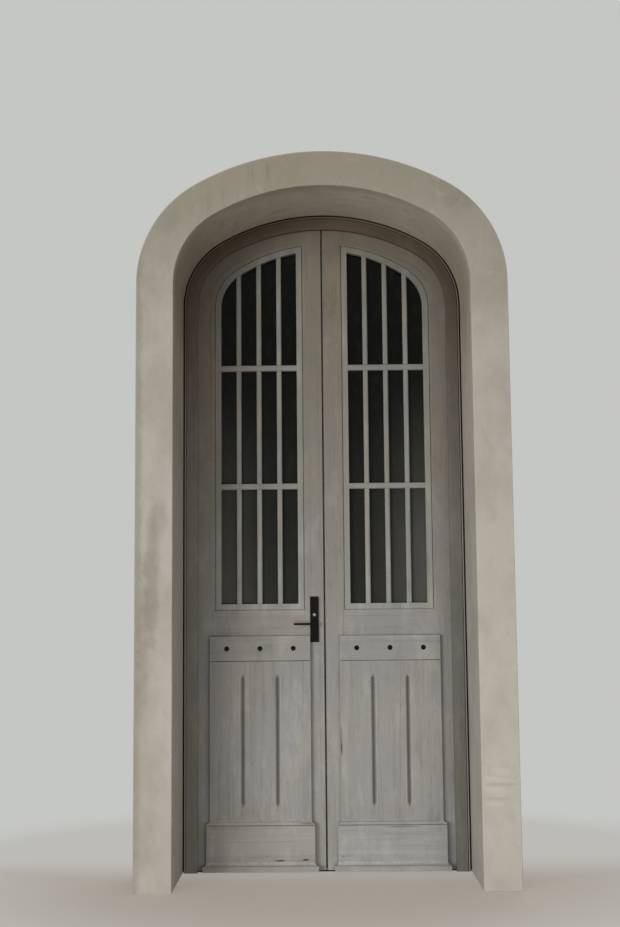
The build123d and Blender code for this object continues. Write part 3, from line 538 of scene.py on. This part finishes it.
def lime_stone(name):
    """Trowelled lime over stone: mottled, streaked at the crown, stained low on the jambs."""
    look = settings("door_stone")
    finish = Finish(name)
    x, y, z = finish.axes()
    cloud = finish.noise(x * 3.2, y * 3.2, z * 2.2, detail=5.0, roughness=0.6)
    mottle = finish.noise(x * 16.0, y * 16.0, z * 11.0, detail=5.0, roughness=0.62, distortion=0.6)
    speck = finish.noise(x * 210.0, y * 210.0, z * 210.0, detail=2.0)
    trowel = finish.noise(x * 42.0, y * 10.0, z * 4.5, detail=4.0, distortion=0.3)
    strokes = finish.noise(x * 2.5, y * 38.0, z * 38.0, detail=3.0)
    grit = finish.noise(x * 900.0, y * 900.0, z * 900.0, detail=2.0)
    worn = finish.attribute("edge_wear")
    height_up = z.rise(2.2, 3.1)

    inside = y.rise(-0.50, -0.40)
    haunch = z.rise(2.20, 2.60) * z.rise(3.05, 2.85)
    streaked = patch(finish, x, z, (-0.27, 3.15), (0.09, 0.06), mottle, 0.7) * 0.8
    streaked = streaked + patch(finish, x, z, (-0.45, 3.02), (0.09, 0.05), mottle, 0.7) * 0.5 + 0.08

    colour = finish.mix(cloud.rise(0.56, 0.32) * 0.55, look.face, look.shade)
    soffit = inside * z.rise(2.80, 3.05)
    # Browner lime at the crown, darkened further as painted shade high on the front and hardly at
    # all on the soffit.
    colour = finish.mix(z.rise(2.3, 3.25) * (0.68 - soffit * 0.66), colour, look.crown)
    # Painted shade inside the reveal around the haunches, in the stain colour.
    colour = finish.mix(inside * haunch * 0.45, colour, look.stain)
    colour = finish.mix(mottle.rise(0.50, 0.72) * 0.30, colour, look.shade)
    colour = finish.mix(mottle.rise(0.46, 0.28) * 0.22, colour, look.pale)
    colour = finish.mix(trowel.rise(0.50, 0.62) * height_up * streaked * 0.6, colour, look.stain)
    colour = finish.mix(strokes.rise(0.52, 0.68) * inside * height_up * 0.30, colour, look.stain)
    colour = finish.mix(speck.rise(0.66, 0.76) * 0.30, colour, look.stain)
    warmed = finish.tinted(colour, (1.02, 0.965, 0.89))
    colour = finish.mix(inside * z.rise(1.9, 2.6), colour, warmed)
    arched = z.above(SPRINGING)
    reach = arched * arch_run(x, z)[1] + (1.0 - arched) * (abs(x) - OPENING_HALF)
    # Painted shade on the stone deep in its joint with the frame.
    in_joint = reach.rise(0.020, 0.005) * y.rise(-0.056, -0.050) * y.rise(0.026, 0.020)
    colour = finish.mix(in_joint * 0.90, colour, JOINT_SHADE)
    colour = finish.mix(worn * 0.35, colour, look.rubbed)
    rag = finish.noise(x * 26.0, y * 26.0, z * 20.0, detail=5.0, roughness=0.65)
    outer_face = y.rise(-0.505, -0.516)
    for place, size, strength in STONE_STAINS:
        stained = patch(finish, x, z, place, size, rag, 0.6) * outer_face * strength
        colour = finish.mix(stained, colour, look.stain)
    for place, size, strength in STONE_SCRAPES:
        middle = (place[0], place[1] + place[0] * SCRAPE_SLOPE)
        scraped = patch(finish, x, z + x * SCRAPE_SLOPE, middle, size, rag) * outer_face
        colour = finish.mix(scraped * strength, colour, look.pale)
    height = mottle * 0.5 + trowel * 0.3 + grit * 0.12 + speck * 0.08
    normal = finish.bump(height, 0.0022)
    roughness = 0.80 + mottle * 0.12
    return finish.surface(colour, roughness, normal=normal, Specular_IOR_Level=0.28)


def dark_glass(name):
    """Panes before a dark room: black above, a faint grey reflection low down and outside."""
    look = settings("door_glass")
    finish = Finish(name)
    x, y, z = finish.axes()
    low = z.rise(2.45, 1.10)
    outer = abs(x).rise(0.20, 0.52)
    film = finish.noise(x * 2.6, y * 2.6, z * 1.7, detail=3.0)
    smear = finish.noise(x * 34.0, y * 34.0, z * 14.0, detail=4.0, distortion=0.5)
    share = low * (0.25 + outer * 0.75) * (0.55 + film * 0.9)
    # Painted reflection, paler low down and towards the sides; the same colour serves for dust.
    colour = finish.mix(share, look.pane, look.reflection_and_dust)
    dust = smear.rise(0.45, 0.75) * 0.06
    colour = finish.mix(dust, colour, look.reflection_and_dust)
    roughness = 0.05 + smear * 0.06
    ripple = finish.noise(x * 9.0, y * 9.0, z * 6.0, detail=1.0)
    normal = finish.bump(ripple, 0.0004)
    return finish.surface(colour, roughness, normal=normal, Specular_IOR_Level=0.10)


def black_iron(name):
    """Matt black ironwork, faintly hammered, rubbed brown along its edges."""
    look = settings("door_metal")
    finish = Finish(name)
    x, y, z = finish.axes()
    beaten = finish.noise(x * 160.0, y * 160.0, z * 160.0, detail=2.0)
    cloud = finish.noise(x * 38.0, y * 38.0, z * 38.0, detail=4.0)
    worn = finish.attribute("edge_wear")
    colour = finish.mix(cloud.rise(0.45, 0.72) * 0.5, look.iron, (0.016, 0.014, 0.012))
    colour = finish.mix(worn * cloud.rise(0.35, 0.65) * 0.4, colour, (0.050, 0.043, 0.035))
    normal = finish.bump(beaten, 0.0004)
    return finish.surface(colour, 0.50 + cloud * 0.22, normal=normal, Specular_IOR_Level=0.18)


def brushed_metal(name, tone, darker, scratch_depth=0.00006):
    """Drawn metal with fine upright brush lines and a dull film."""
    finish = Finish(name)
    x, y, z = finish.axes()
    brush = finish.noise(x * 1600.0, y * 1600.0, z * 40.0, detail=2.0)
    film = finish.noise(x * 55.0, y * 55.0, z * 55.0, detail=4.0)
    colour = finish.mix(film.rise(0.42, 0.74) * 0.6, tone, darker)
    roughness = 0.26 + brush * 0.14 + film * 0.16
    normal = finish.bump(brush, scratch_depth)
    return finish.surface(colour, roughness, metallic=1.0, normal=normal)


def threshold_steel(name):
    """Dull dark plate, scuffed by feet in the middle of each leaf."""
    look = settings("door_metal")
    finish = Finish(name)
    x, y, z = finish.axes()
    scuff = finish.noise(x * 90.0, y * 260.0, z * 200.0, detail=4.0)
    dust = finish.noise(x * 14.0, y * 14.0, z * 14.0, detail=4.0)
    colour = finish.mix(scuff.rise(0.54, 0.70) * 0.6, look.sill, (0.15, 0.145, 0.135))
    colour = finish.mix(dust.rise(0.50, 0.75) * 0.5, colour, (0.17, 0.155, 0.13))
    normal = finish.bump(scuff, 0.0002)
    return finish.surface(colour, 0.48 + dust * 0.25, metallic=0.6, normal=normal)


def seal_rubber(name):
    """Dull ribbed rubber with some dust on it."""
    look = settings("door_glass")
    finish = Finish(name)
    x, y, z = finish.axes()
    dust = finish.noise(x * 30.0, y * 30.0, z * 12.0, detail=4.0)
    rib = finish.noise(x * 500.0, y * 500.0, z * 60.0, detail=2.0)
    colour = finish.mix(dust.rise(0.48, 0.74) * 0.5, look.rubber, (0.075, 0.070, 0.062))
    normal = finish.bump(rib, 0.0001)
    return finish.surface(colour, 0.72 + dust * 0.12, normal=normal, Specular_IOR_Level=0.3)


def brush_fibre(name):
    """Dense dark bristles that point across the gap between the leaves."""
    finish = Finish(name)
    x, y, z = finish.axes()
    bristle = finish.noise(x * 60.0, y * 1800.0, z * 1800.0, detail=2.0)
    tuft = finish.noise(x * 20.0, y * 60.0, z * 260.0, detail=2.0)
    colour = finish.mix(bristle.rise(0.35, 0.70), (0.006, 0.0055, 0.005), (0.030, 0.028, 0.025))
    normal = finish.bump(bristle * 0.7 + tuft * 0.3, 0.0007)
    return finish.surface(colour, 0.88, normal=normal, Specular_IOR_Level=0.2)


FINISHES = {}


def finish_for(name):
    """Each finish is made once and shared by its pieces."""
    if name not in FINISHES:
        timber = settings("door_timber")
        metal = settings("door_metal")
        leaf = (timber.wash, timber.aged_and_shaded)
        frame_wash = (timber.frame, timber.head)
        bars = (timber.grille, timber.grille_high)
        plinth = (timber.board, timber.aged_and_shaded)
        makers = {
            "oak_upright": lambda: weathered_oak(name, "upright", *leaf),
            "oak_level": lambda: weathered_oak(name, "level", *leaf),
            "oak_arched": lambda: weathered_oak(name, "arched", *leaf),
            "oak_frame": lambda: weathered_oak(name, "upright", *frame_wash, meets_stone=True),
            "oak_head": lambda: weathered_oak(name, "arched", *frame_wash, meets_stone=True),
            "oak_grille": lambda: weathered_oak(name, "upright", *bars),
            "oak_cross_bars": lambda: weathered_oak(name, "level", *bars),
            "oak_board": lambda: weathered_oak(
                name, "upright", *leaf, BOARD_MARKS, face_y=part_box("left_fluted_board")[0].y
            ),
            "oak_plinth": lambda: weathered_oak(name, "level", *plinth, PLINTH_MARKS),
            "lime_stone": lambda: lime_stone(name),
            "dark_glass": lambda: dark_glass(name),
            "black_iron": lambda: black_iron(name),
            "plain_steel": lambda: brushed_metal(name, metal.steel, (0.24, 0.235, 0.225)),
            "satin_nickel": lambda: brushed_metal(name, metal.nickel, (0.45, 0.43, 0.40)),
            "dull_nickel": lambda: brushed_metal(name, (0.24, 0.23, 0.21), (0.12, 0.115, 0.10)),
            "dark_steel": lambda: threshold_steel(name),
            "seal_rubber": lambda: seal_rubber(name),
            "brush_fibre": lambda: brush_fibre(name),
        }
        FINISHES[name] = makers[name]()
    return FINISHES[name]


def paint(obj, finish_name):
    """A piece gets its finish."""
    obj.data.materials.clear()
    obj.data.materials.append(finish_for(finish_name))


def place_piece(name, mesh, finish_name, body, slot_name, stands_for=()):
    """A finished mesh becomes a piece: painted and riding on its body."""
    data = bpy.data.meshes.new(name)
    mesh.to_mesh(data)
    mesh.free()
    obj = bpy.data.objects.new(name, data)
    bpy.context.scene.collection.objects.link(obj)
    paint(obj, finish_name)
    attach(obj, body)
    if stands_for:
        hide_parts(*stands_for)


def is_sharp(edge, angle):
    """Whether the two faces at an edge meet at more than the angle."""
    return len(edge.link_faces) == 2 and edge.calc_face_angle(0.0) > angle


def smooth_regions(mesh, angle):
    """Groups of faces that meet without a sharp edge between them."""
    left = set(mesh.faces)
    while left:
        region, front = set(), [left.pop()]
        while front:
            face = front.pop()
            region.add(face)
            for edge in face.edges:
                if is_sharp(edge, angle):
                    continue
                for other in edge.link_faces:
                    if other in left:
                        left.discard(other)
                        front.append(other)
        yield list(region)


def region_width(region):
    """The mean width of a strip of faces."""
    inside = set(region)
    rim = sum(
        edge.calc_length()
        for face in region for edge in face.edges
        if any(other not in inside for other in edge.link_faces)
    )
    return 2.0 * sum(face.calc_area() for face in region) / max(rim, MM)


def worn_mesh(node, arris, band, whole_faces=True, shortest=0.0):
    """A merged copy of a node with softened arrises.

    edge_wear is 1 on the arrises and the corner mask is 1 in the inner corners, where the oak gets
    painted shade; both end past the band. Edges shorter than the shortest stay sharp.
    """
    mesh = bmesh.new()
    mesh.from_mesh(frame["nodes"][node].data)
    bmesh.ops.remove_doubles(mesh, verts=mesh.verts, dist=MERGE_REACH)
    if whole_faces:
        bmesh.ops.dissolve_limit(
            mesh, angle_limit=FLAT_ANGLE, verts=mesh.verts, edges=mesh.edges,
            use_dissolve_boundaries=False,
        )
    for region in list(smooth_regions(mesh, SHARP_ANGLE)):
        reach = min(band, region_width(region) * BAND_SHARE)
        if reach > NARROWEST_BAND:
            bmesh.ops.inset_region(
                mesh, faces=region, thickness=reach, depth=0.0,
                use_boundary=True, use_even_offset=False,
            )
    wear = mesh.verts.layers.float.new("edge_wear")
    crevice_shade = mesh.verts.layers.float.new("corner_grime")
    sharp = [edge for edge in mesh.edges if is_sharp(edge, SHARP_ANGLE)]
    # Inner-corner vertices carry the mask for painted shade.
    for edge in sharp:
        if not edge.is_convex:
            for vert in edge.verts:
                vert[crevice_shade] = 1.0
    arrises = [edge for edge in sharp if edge.is_convex and edge.calc_length() > shortest]
    made = bmesh.ops.bevel(
        mesh, geom=arrises, offset=arris, offset_type="OFFSET", affect="EDGES",
        segments=3 if shortest else 2, profile=0.5, material=-1, clamp_overlap=True,
    )
    for vert in made["verts"]:
        if band > 0.0 and vert[crevice_shade] < 0.5:
            vert[wear] = 1.0
    for face in mesh.faces:
        face.smooth = True
    for edge in mesh.edges:
        edge.smooth = not is_sharp(edge, SHADED_SHARP_ANGLE)
    return mesh


def worn_piece(node, finish_name, arris=None, band=None, whole_faces=True, shortest=0.0):
    """A worn copy stands in for a node, on its body."""
    timber = settings("door_timber")
    arris = timber.arris if arris is None else arris
    band = timber.rubbed_band if band is None else band
    mesh = worn_mesh(node, arris, band, whole_faces, shortest)
    body, slot_name = body_of_node(node), slot_of_node(node)
    place_piece("worn_" + node, mesh, finish_name, body, slot_name, (node,))


def body_of_node(node):
    for body, members in frame["record"]["behaviour"]["bodies"].items():
        if node in members:
            return body
    raise RuntimeError("no body holds " + node)


def slot_of_node(node):
    for row in frame["record"]["subparts"]:
        if row["node"] == node:
            return row["material_slot"]
    raise RuntimeError("no slot for " + node)


def paint_node(node, finish_name):
    """A kept node gets its finish."""
    paint(frame["nodes"][node], finish_name)


def screw_heads(name, places, facing, body, radius=None):
    """Countersunk heads with a drive recess, seated in a plate; places are on its face."""
    radius = settings("door_metal").screw_radius if radius is None else radius
    facing = Vector(facing)
    turn = Vector((0, 0, 1)).rotation_difference(facing).to_matrix().to_4x4()
    mesh = bmesh.new()
    for place in places:
        base = Vector(place) - facing * SCREW_SEAT
        ring = bmesh.ops.create_circle(
            mesh, cap_ends=True, segments=20, radius=radius, matrix=Matrix.Translation(base) @ turn
        )
        disc = ring["verts"][0].link_faces[0]
        grown = bmesh.ops.extrude_face_region(mesh, geom=[disc], use_keep_orig=True)
        raised = [item for item in grown["geom"] if isinstance(item, bmesh.types.BMVert)]
        bmesh.ops.translate(mesh, verts=raised, vec=facing * SCREW_HEIGHT)
        top = [item for item in grown["geom"] if isinstance(item, bmesh.types.BMFace)]
        for share, lift in SCREW_RINGS:
            bmesh.ops.inset_individual(mesh, faces=top, thickness=radius * share, depth=lift * MM)
    bmesh.ops.recalc_face_normals(mesh, faces=mesh.faces)
    place_piece(name, mesh, "plain_steel", body, "plain_steel")


def stud_nails(side):
    """Three hand-forged stud heads on a nail batten, each a little out of round."""
    low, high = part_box(side + "_stud_nails")
    front, level = low.y, (low.z + high.z) / 2
    radius = (high.z - low.z) / 2 - FIT
    middle = (low.x + high.x) / 2
    step = (high.x - low.x) / 2 - radius
    drawn = random.Random(side)
    outwards = Matrix.Rotation(math.radians(90), 4, "X")
    mesh = bmesh.new()
    for offset in (-step, 0.0, step):
        seat = Matrix.Translation((middle + offset, front + STUD_HEIGHT + FIT, level)) @ outwards
        ring = bmesh.ops.create_circle(mesh, cap_ends=True, segments=18, radius=radius, matrix=seat)
        disc = ring["verts"][0].link_faces[0]
        grown = bmesh.ops.extrude_face_region(mesh, geom=[disc], use_keep_orig=True)
        rim = [item for item in grown["geom"] if isinstance(item, bmesh.types.BMVert)]
        bmesh.ops.translate(mesh, verts=rim, vec=(0.0, -STUD_RIM, 0.0))
        top = [item for item in grown["geom"] if isinstance(item, bmesh.types.BMFace)]
        bmesh.ops.recalc_face_normals(mesh, faces=mesh.faces)
        for share, lift in STUD_RINGS:
            bmesh.ops.inset_individual(mesh, faces=top, thickness=radius * share, depth=lift * MM)
    for vert in mesh.verts:
        if vert.co.y < front + 3.0 * MM:
            vert.co.x += drawn.uniform(-STUD_UNEVEN, STUD_UNEVEN) * MM
            vert.co.z += drawn.uniform(-STUD_UNEVEN, STUD_UNEVEN) * MM
            vert.co.y += drawn.uniform(0.0, 0.25) * MM
    node = side + "_stud_nails"
    place_piece(side + "_forged_studs", mesh, "black_iron", side + "_leaf", "black_iron", (node,))


def bristles(side):
    """A strip of bristles up to the head, with ragged tips at the middle of the gap."""
    low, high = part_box(side + "_brush_strip")
    root = high.x if side == "right" else low.x
    hand = 1.0 if side == "right" else -1.0
    foot, top = low.z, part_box("head_keep")[0].z - BRISTLE_TOP_GAP
    drawn = random.Random(side + " bristles")
    mesh = bmesh.new()
    bmesh.ops.create_grid(mesh, x_segments=BRISTLE_ROWS, y_segments=1, size=0.5)
    for vert in mesh.verts:
        along, tip = vert.co.x + 0.5, vert.co.y > 0.0
        reach = hand * drawn.uniform(*BRISTLE_TIPS) * MM if tip else root
        vert.co = (reach, low.y, foot + along * (top - foot))
    grown = bmesh.ops.extrude_face_region(mesh, geom=mesh.faces[:], use_keep_orig=True)
    deep = [item for item in grown["geom"] if isinstance(item, bmesh.types.BMVert)]
    bmesh.ops.translate(mesh, verts=deep, vec=(0.0, high.y - low.y, 0.0))
    bmesh.ops.recalc_face_normals(mesh, faces=mesh.faces)
    node = side + "_brush_strip"
    place_piece(side + "_bristles", mesh, "brush_fibre", side + "_leaf", "brush_fibre", (node,))


def mirrored(places, side):
    """Places written for the right leaf, turned over for the left one."""
    hand = 1.0 if side == "right" else -1.0
    return [(hand * x, y, z) for x, y, z in places]


def plate_screws(node, side, face, way):
    """Staggered screws in each hinge plate of a node; its face looks the given way along x."""
    hand = 1.0 if side == "right" else -1.0
    body = body_of_node(node)
    places = []
    for level in HINGE_LEVELS:
        for index, height in enumerate(HINGE_SCREW_ROWS):
            depth = HINGE_SCREW_DEPTH + HINGE_SCREW_STAGGER * (index % 2)
            places.append((face, depth, level + height))
    owner = "frame" if body == "frame" else "leaf"
    name = side + "_" + owner + "_hinge_screws"
    screw_heads(name, mirrored(places, side), (hand * way, 0, 0), body)


def end_screws(x, low, high, inset):
    """Places of the screws near both ends of an upright plate, on its face at x."""
    return [(x, 0.0, low + inset), (x, 0.0, high - inset)]


class DOOR_OT_stone_surround(bpy.types.Operator):
    """Finish the deep stone surround with softened arrises"""

    bl_idname = "door.stone_surround"
    bl_label = "Stone surround"

    def execute(self, context):
        look = settings("door_stone")
        worn_piece("stone_surround", "lime_stone", look.arris, look.rubbed_band)
        return {"FINISHED"}


class DOOR_OT_timber_frame(bpy.types.Operator):
    """Finish the jambs and the arched head of the timber frame"""

    bl_idname = "door.timber_frame"
    bl_label = "Timber frame"

    def execute(self, context):
        for side in SIDES:
            worn_piece("frame_jamb_" + side, "oak_frame")
        worn_piece("frame_head", "oak_head", arris=0.6 * MM, band=0.0)
        return {"FINISHED"}


class DOOR_OT_leaf_joinery(bpy.types.Operator):
    """Finish the stiles, rails and inner panels of both leaves"""

    bl_idname = "door.leaf_joinery"
    bl_label = "Leaf joinery"

    def execute(self, context):
        pieces = {
            "hinge_stile": "oak_upright",
            "meeting_stile": "oak_upright",
            "top_rail": "oak_arched",
            "lock_rail": "oak_level",
            "bottom_rail": "oak_level",
            "inner_panel": "oak_upright",
        }
        for side in SIDES:
            for piece, finish_name in pieces.items():
                narrow = 1.5 * MM if piece == "meeting_stile" else None
                worn_piece(side + "_" + piece, finish_name, band=narrow)
        return {"FINISHED"}


class DOOR_OT_grilles(bpy.types.Operator):
    """Finish the grille frames, their bars and the glazing beads"""

    bl_idname = "door.grilles"
    bl_label = "Grilles"

    def execute(self, context):
        for side in SIDES:
            worn_piece(
                side + "_grille_frame", "oak_grille",
                arris=0.8 * MM, band=1.6 * MM, whole_faces=False,
            )
            worn_piece(
                side + "_upright_bars", "oak_grille", arris=3.0 * MM, band=0.0, shortest=30.0 * MM
            )
            worn_piece(
                side + "_cross_bars", "oak_cross_bars", arris=2.0 * MM, band=0.0, shortest=30.0 * MM
            )
            worn_piece(
                side + "_glazing_bead", "oak_upright", arris=0.6 * MM, band=0.0, whole_faces=False
            )
        return {"FINISHED"}


class DOOR_OT_lower_boards(bpy.types.Operator):
    """Finish the fluted boards, nail battens, plinths and base mouldings"""

    bl_idname = "door.lower_boards"
    bl_label = "Lower boards"

    def execute(self, context):
        for side in SIDES:
            worn_piece(side + "_fluted_board", "oak_board")
            worn_piece(side + "_nail_batten", "oak_level")
            worn_piece(side + "_plinth", "oak_plinth", band=1.5 * MM)
            worn_piece(side + "_base_moulding", "oak_plinth", arris=0.8 * MM, band=1.0 * MM)
        return {"FINISHED"}


class DOOR_OT_ironwork(bpy.types.Operator):
    """Finish the stud nails, backplates, levers and key cylinder"""

    bl_idname = "door.ironwork"
    bl_label = "Ironwork"

    def execute(self, context):
        worn_piece("lock_backplates", "black_iron", arris=0.6 * MM, band=0.8 * MM)
        paint_node("outer_lever", "black_iron")
        paint_node("inner_lever", "black_iron")
        for side in SIDES:
            stud_nails(side)
        paint_node("key_cylinder", "dull_nickel")
        paint_node("cylinder_plug", "satin_nickel")
        paint_node("lever_spindle", "plain_steel")
        return {"FINISHED"}


class DOOR_OT_glazing(bpy.types.Operator):
    """Finish the dark panes"""

    bl_idname = "door.glazing"
    bl_label = "Glazing"

    def execute(self, context):
        for side in SIDES:
            paint_node(side + "_glass_pane", "dark_glass")
        return {"FINISHED"}


class DOOR_OT_seals(bpy.types.Operator):
    """Finish the joint tape, the weather seal and the brush strips"""

    bl_idname = "door.seals"
    bl_label = "Seals and brushes"

    def execute(self, context):
        paint_node("perimeter_seal", "seal_rubber")
        paint_node("weather_seal", "seal_rubber")
        for side in SIDES:
            bristles(side)
        return {"FINISHED"}


class DOOR_OT_fittings(bpy.types.Operator):
    """Finish the hinges, the lock, the bolts and the threshold, with their screws"""

    bl_idname = "door.fittings"
    bl_label = "Hinges, lock and bolts"

    def execute(self, context):
        steel = (
            "frame_hinge_plates", "left_hinge_plates", "right_hinge_plates", "hinge_pins",
            "lock_case", "lock_forend", "latch_bolt", "deadbolt", "strike_plate", "top_flush_bolt",
            "bottom_flush_bolt", "flush_bolt_plates",
        )
        for node in steel:
            paint_node(node, "plain_steel")
        paint_node("threshold", "dark_steel")
        paint_node("head_keep", "dark_steel")
        for side in SIDES:
            plate_screws(side + "_hinge_plates", side, LEAF_EDGE, 1.0)
            plate_screws("frame_hinge_plates", side, REBATE_FACE, -1.0)
        meeting = -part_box("lock_forend")[1].x
        forend_low, forend_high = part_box("lock_forend")
        ends = end_screws(-meeting, forend_low.z, forend_high.z, PLATE_SCREW_INSET)
        screw_heads("forend_screws", ends, (1, 0, 0), "left_leaf")
        strike_low, strike_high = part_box("strike_plate")
        ends = end_screws(meeting, strike_low.z, strike_high.z, STRIKE_SCREW_INSET)
        for low, high in FLUSH_PLATES:
            ends += end_screws(meeting, low, high, PLATE_SCREW_INSET)
        screw_heads("strike_and_bolt_screws", ends, (-1, 0, 0), "right_leaf")
        keep_low, keep_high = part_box("head_keep")
        middle = (keep_low.x + keep_high.x) / 2
        ends = [(middle + way * KEEP_SCREW_REACH, 0.0, keep_low.z) for way in (-1, 1)]
        screw_heads("keep_screws", ends, (0, 0, -1), "frame", radius=KEEP_SCREW_RADIUS)
        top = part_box("threshold")[1].z
        ends = [(x, 0.0, top) for x in THRESHOLD_SCREWS]
        screw_heads("threshold_screws", ends, (0, 0, 1), "frame")
        return {"FINISHED"}


def overhead_share(finish):
    """0 for light from the sides, 1 for light from overhead."""
    way = finish.node("ShaderNodeTexCoord").outputs["Generated"]
    split = finish.node("ShaderNodeSeparateXYZ", inputs={"Vector": way})
    return Value(finish, split.outputs[2]).rise(0.0, 0.75)


def seen_ray(finish):
    """1 where the surroundings are seen, mirrored or looked at through glass."""
    path = finish.node("ShaderNodeLightPath")
    camera, glossy, transmission = (
        Value(finish, path.outputs["Is " + ray + " Ray"])
        for ray in ("Camera", "Glossy", "Transmission")
    )
    return (camera + glossy + transmission).clamped()


def light_surroundings(look):
    """Soft light from all sides, with a plain pale tone where it is seen or mirrored."""
    world = bpy.data.worlds.new("surroundings")
    world.use_nodes = True
    finish = Finish("surroundings", world.node_tree)
    tone = finish.mix(overhead_share(finish), SKY_SIDES, SKY_OVERHEAD)
    soft = finish.node("ShaderNodeBackground", inputs={"Color": tone, "Strength": look.sky_light})
    plain = finish.node(
        "ShaderNodeBackground", inputs={"Color": look.backdrop, "Strength": 1.0}
    )
    both = finish.node(
        "ShaderNodeMixShader", inputs={0: seen_ray(finish), 1: soft.outputs[0], 2: plain.outputs[0]}
    )
    finish.node("ShaderNodeOutputWorld", inputs={"Surface": both.outputs[0]})
    bpy.context.scene.world = world


def soft_light(name, place, target, size, power, tone):
    """A wide lamp that looks from its place at a target and isn't seen itself."""
    data = bpy.data.lights.new(name, "AREA")
    data.shape = "RECTANGLE"
    data.size, data.size_y = size
    data.energy = power
    data.color = tone
    lamp = bpy.data.objects.new(name, data)
    bpy.context.scene.collection.objects.link(lamp)
    lamp.location = place
    lamp.rotation_euler = (Vector(target) - Vector(place)).to_track_quat("-Z", "Y").to_euler()
    lamp.visible_camera = False
    lamp.visible_glossy = False


def pale_floor(look):
    """A round floor whose edge fades into the surroundings."""
    mesh = bmesh.new()
    bmesh.ops.create_circle(mesh, cap_ends=True, segments=96, radius=FLOOR_RADIUS)
    data = bpy.data.meshes.new("floor")
    mesh.to_mesh(data)
    mesh.free()
    floor = bpy.data.objects.new("floor", data)
    bpy.context.scene.collection.objects.link(floor)
    finish = Finish("pale_floor")
    x, y, _ = finish.axes()
    reach = (x * x + y * y) ** 0.5
    fade = reach.rise(0.80, 2.40).most(y.rise(-0.40, 0.40) * 0.7)
    cloud = finish.noise(x * 1.5, y * 1.5, 0.0, detail=3.0)
    colour = finish.mix(cloud * 0.10, look.floor, (0.60, 0.575, 0.54))
    shader = finish.node(
        "ShaderNodeBsdfPrincipled", inputs={"Base Color": colour, "Roughness": 0.85}
    )
    seen = finish.mix(fade, FLOOR_SEEN, look.backdrop)
    plain = finish.node("ShaderNodeEmission", inputs={"Color": seen, "Strength": 1.0})
    share = (fade * 0.50 + 0.50) * seen_ray(finish)
    both = finish.node(
        "ShaderNodeMixShader", inputs={0: share, 1: shader.outputs[0], 2: plain.outputs[0]}
    )
    finish.node("ShaderNodeOutputMaterial", inputs={"Surface": both.outputs[0]})
    floor.data.materials.append(finish.material)
    floor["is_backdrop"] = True


def stand_camera(look):
    """The camera stands before the door at chest height and looks slightly up."""
    forward = math.cos(CAMERA_PITCH)
    ahead = Vector(
        (math.sin(CAMERA_YAW) * forward, math.cos(CAMERA_YAW) * forward, math.sin(CAMERA_PITCH))
    )
    level = Vector((math.cos(CAMERA_YAW), -math.sin(CAMERA_YAW), 0.0))
    above = level.cross(ahead)
    right = math.cos(CAMERA_ROLL) * level + math.sin(CAMERA_ROLL) * above
    up = -math.sin(CAMERA_ROLL) * level + math.cos(CAMERA_ROLL) * above
    data = bpy.data.cameras.new("camera")
    data.lens = look.lens
    data.sensor_width = 36.0
    data.sensor_fit = "AUTO"
    camera = bpy.data.objects.new("camera", data)
    bpy.context.scene.collection.objects.link(camera)
    turned = Matrix((right, up, -ahead)).transposed().to_4x4()
    camera.matrix_world = Matrix.Translation(CAMERA_PLACE) @ turned
    bpy.context.scene.camera = camera


class DOOR_OT_stage(bpy.types.Operator):
    """Set the pale floor, the soft light and the camera"""

    bl_idname = "door.stage"
    bl_label = "Stage"

    def execute(self, context):
        look = settings("door_stage")
        context.scene.view_settings.view_transform = "Standard"
        light_surroundings(look)
        for name, place, target, size, tone in SOFT_LIGHTS:
            soft_light(name, place, target, size, getattr(look, name), tone)
        pale_floor(look)
        stand_camera(look)
        return {"FINISHED"}


class DOOR_PT_sidebar(bpy.types.Panel):
    """Lists the door's settings and the pieces that it can finish"""

    bl_idname = "DOOR_PT_sidebar"
    bl_label = "Arched Door"
    bl_space_type = "VIEW_3D"
    bl_region_type = "UI"
    bl_category = "Arched Door"

    def draw(self, context):
        for group, owner in SETTING_GROUPS.items():
            box = self.layout.box()
            box.label(text=owner.__doc__)
            for key in owner.__annotations__:
                box.prop(getattr(context.scene, group), key)
        column = self.layout.column(align=True)
        for operator in OPERATORS:
            column.operator(operator.bl_idname, text=operator.bl_label)


SETTING_GROUPS = {
    "door_timber": DoorTimber,
    "door_stone": DoorStone,
    "door_metal": DoorMetal,
    "door_glass": DoorGlass,
    "door_stage": DoorStage,
}

OPERATORS = (
    DOOR_OT_stage,
    DOOR_OT_stone_surround,
    DOOR_OT_timber_frame,
    DOOR_OT_leaf_joinery,
    DOOR_OT_grilles,
    DOOR_OT_lower_boards,
    DOOR_OT_ironwork,
    DOOR_OT_glazing,
    DOOR_OT_seals,
    DOOR_OT_fittings,
)


def register():
    for group, owner in SETTING_GROUPS.items():
        bpy.utils.register_class(owner)
        setattr(bpy.types.Scene, group, bpy.props.PointerProperty(type=owner))
    for owner in (*OPERATORS, DOOR_PT_sidebar):
        bpy.utils.register_class(owner)


def unregister():
    for owner in reversed((*OPERATORS, DOOR_PT_sidebar)):
        bpy.utils.unregister_class(owner)
    for group, owner in SETTING_GROUPS.items():
        delattr(bpy.types.Scene, group)
        bpy.utils.unregister_class(owner)


def main():
    register()
    bpy.ops.door.stage()
    bpy.ops.door.stone_surround()
    bpy.ops.door.timber_frame()
    bpy.ops.door.leaf_joinery()
    bpy.ops.door.grilles()
    bpy.ops.door.lower_boards()
    bpy.ops.door.ironwork()
    bpy.ops.door.glazing()
    bpy.ops.door.seals()
    bpy.ops.door.fittings()
    boxes = {"cad": CAD_BOX, "visual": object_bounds()}
    {name: [list(corner) for corner in box] for name, box in boxes.items()}


if __name__ == "__main__":
    main()
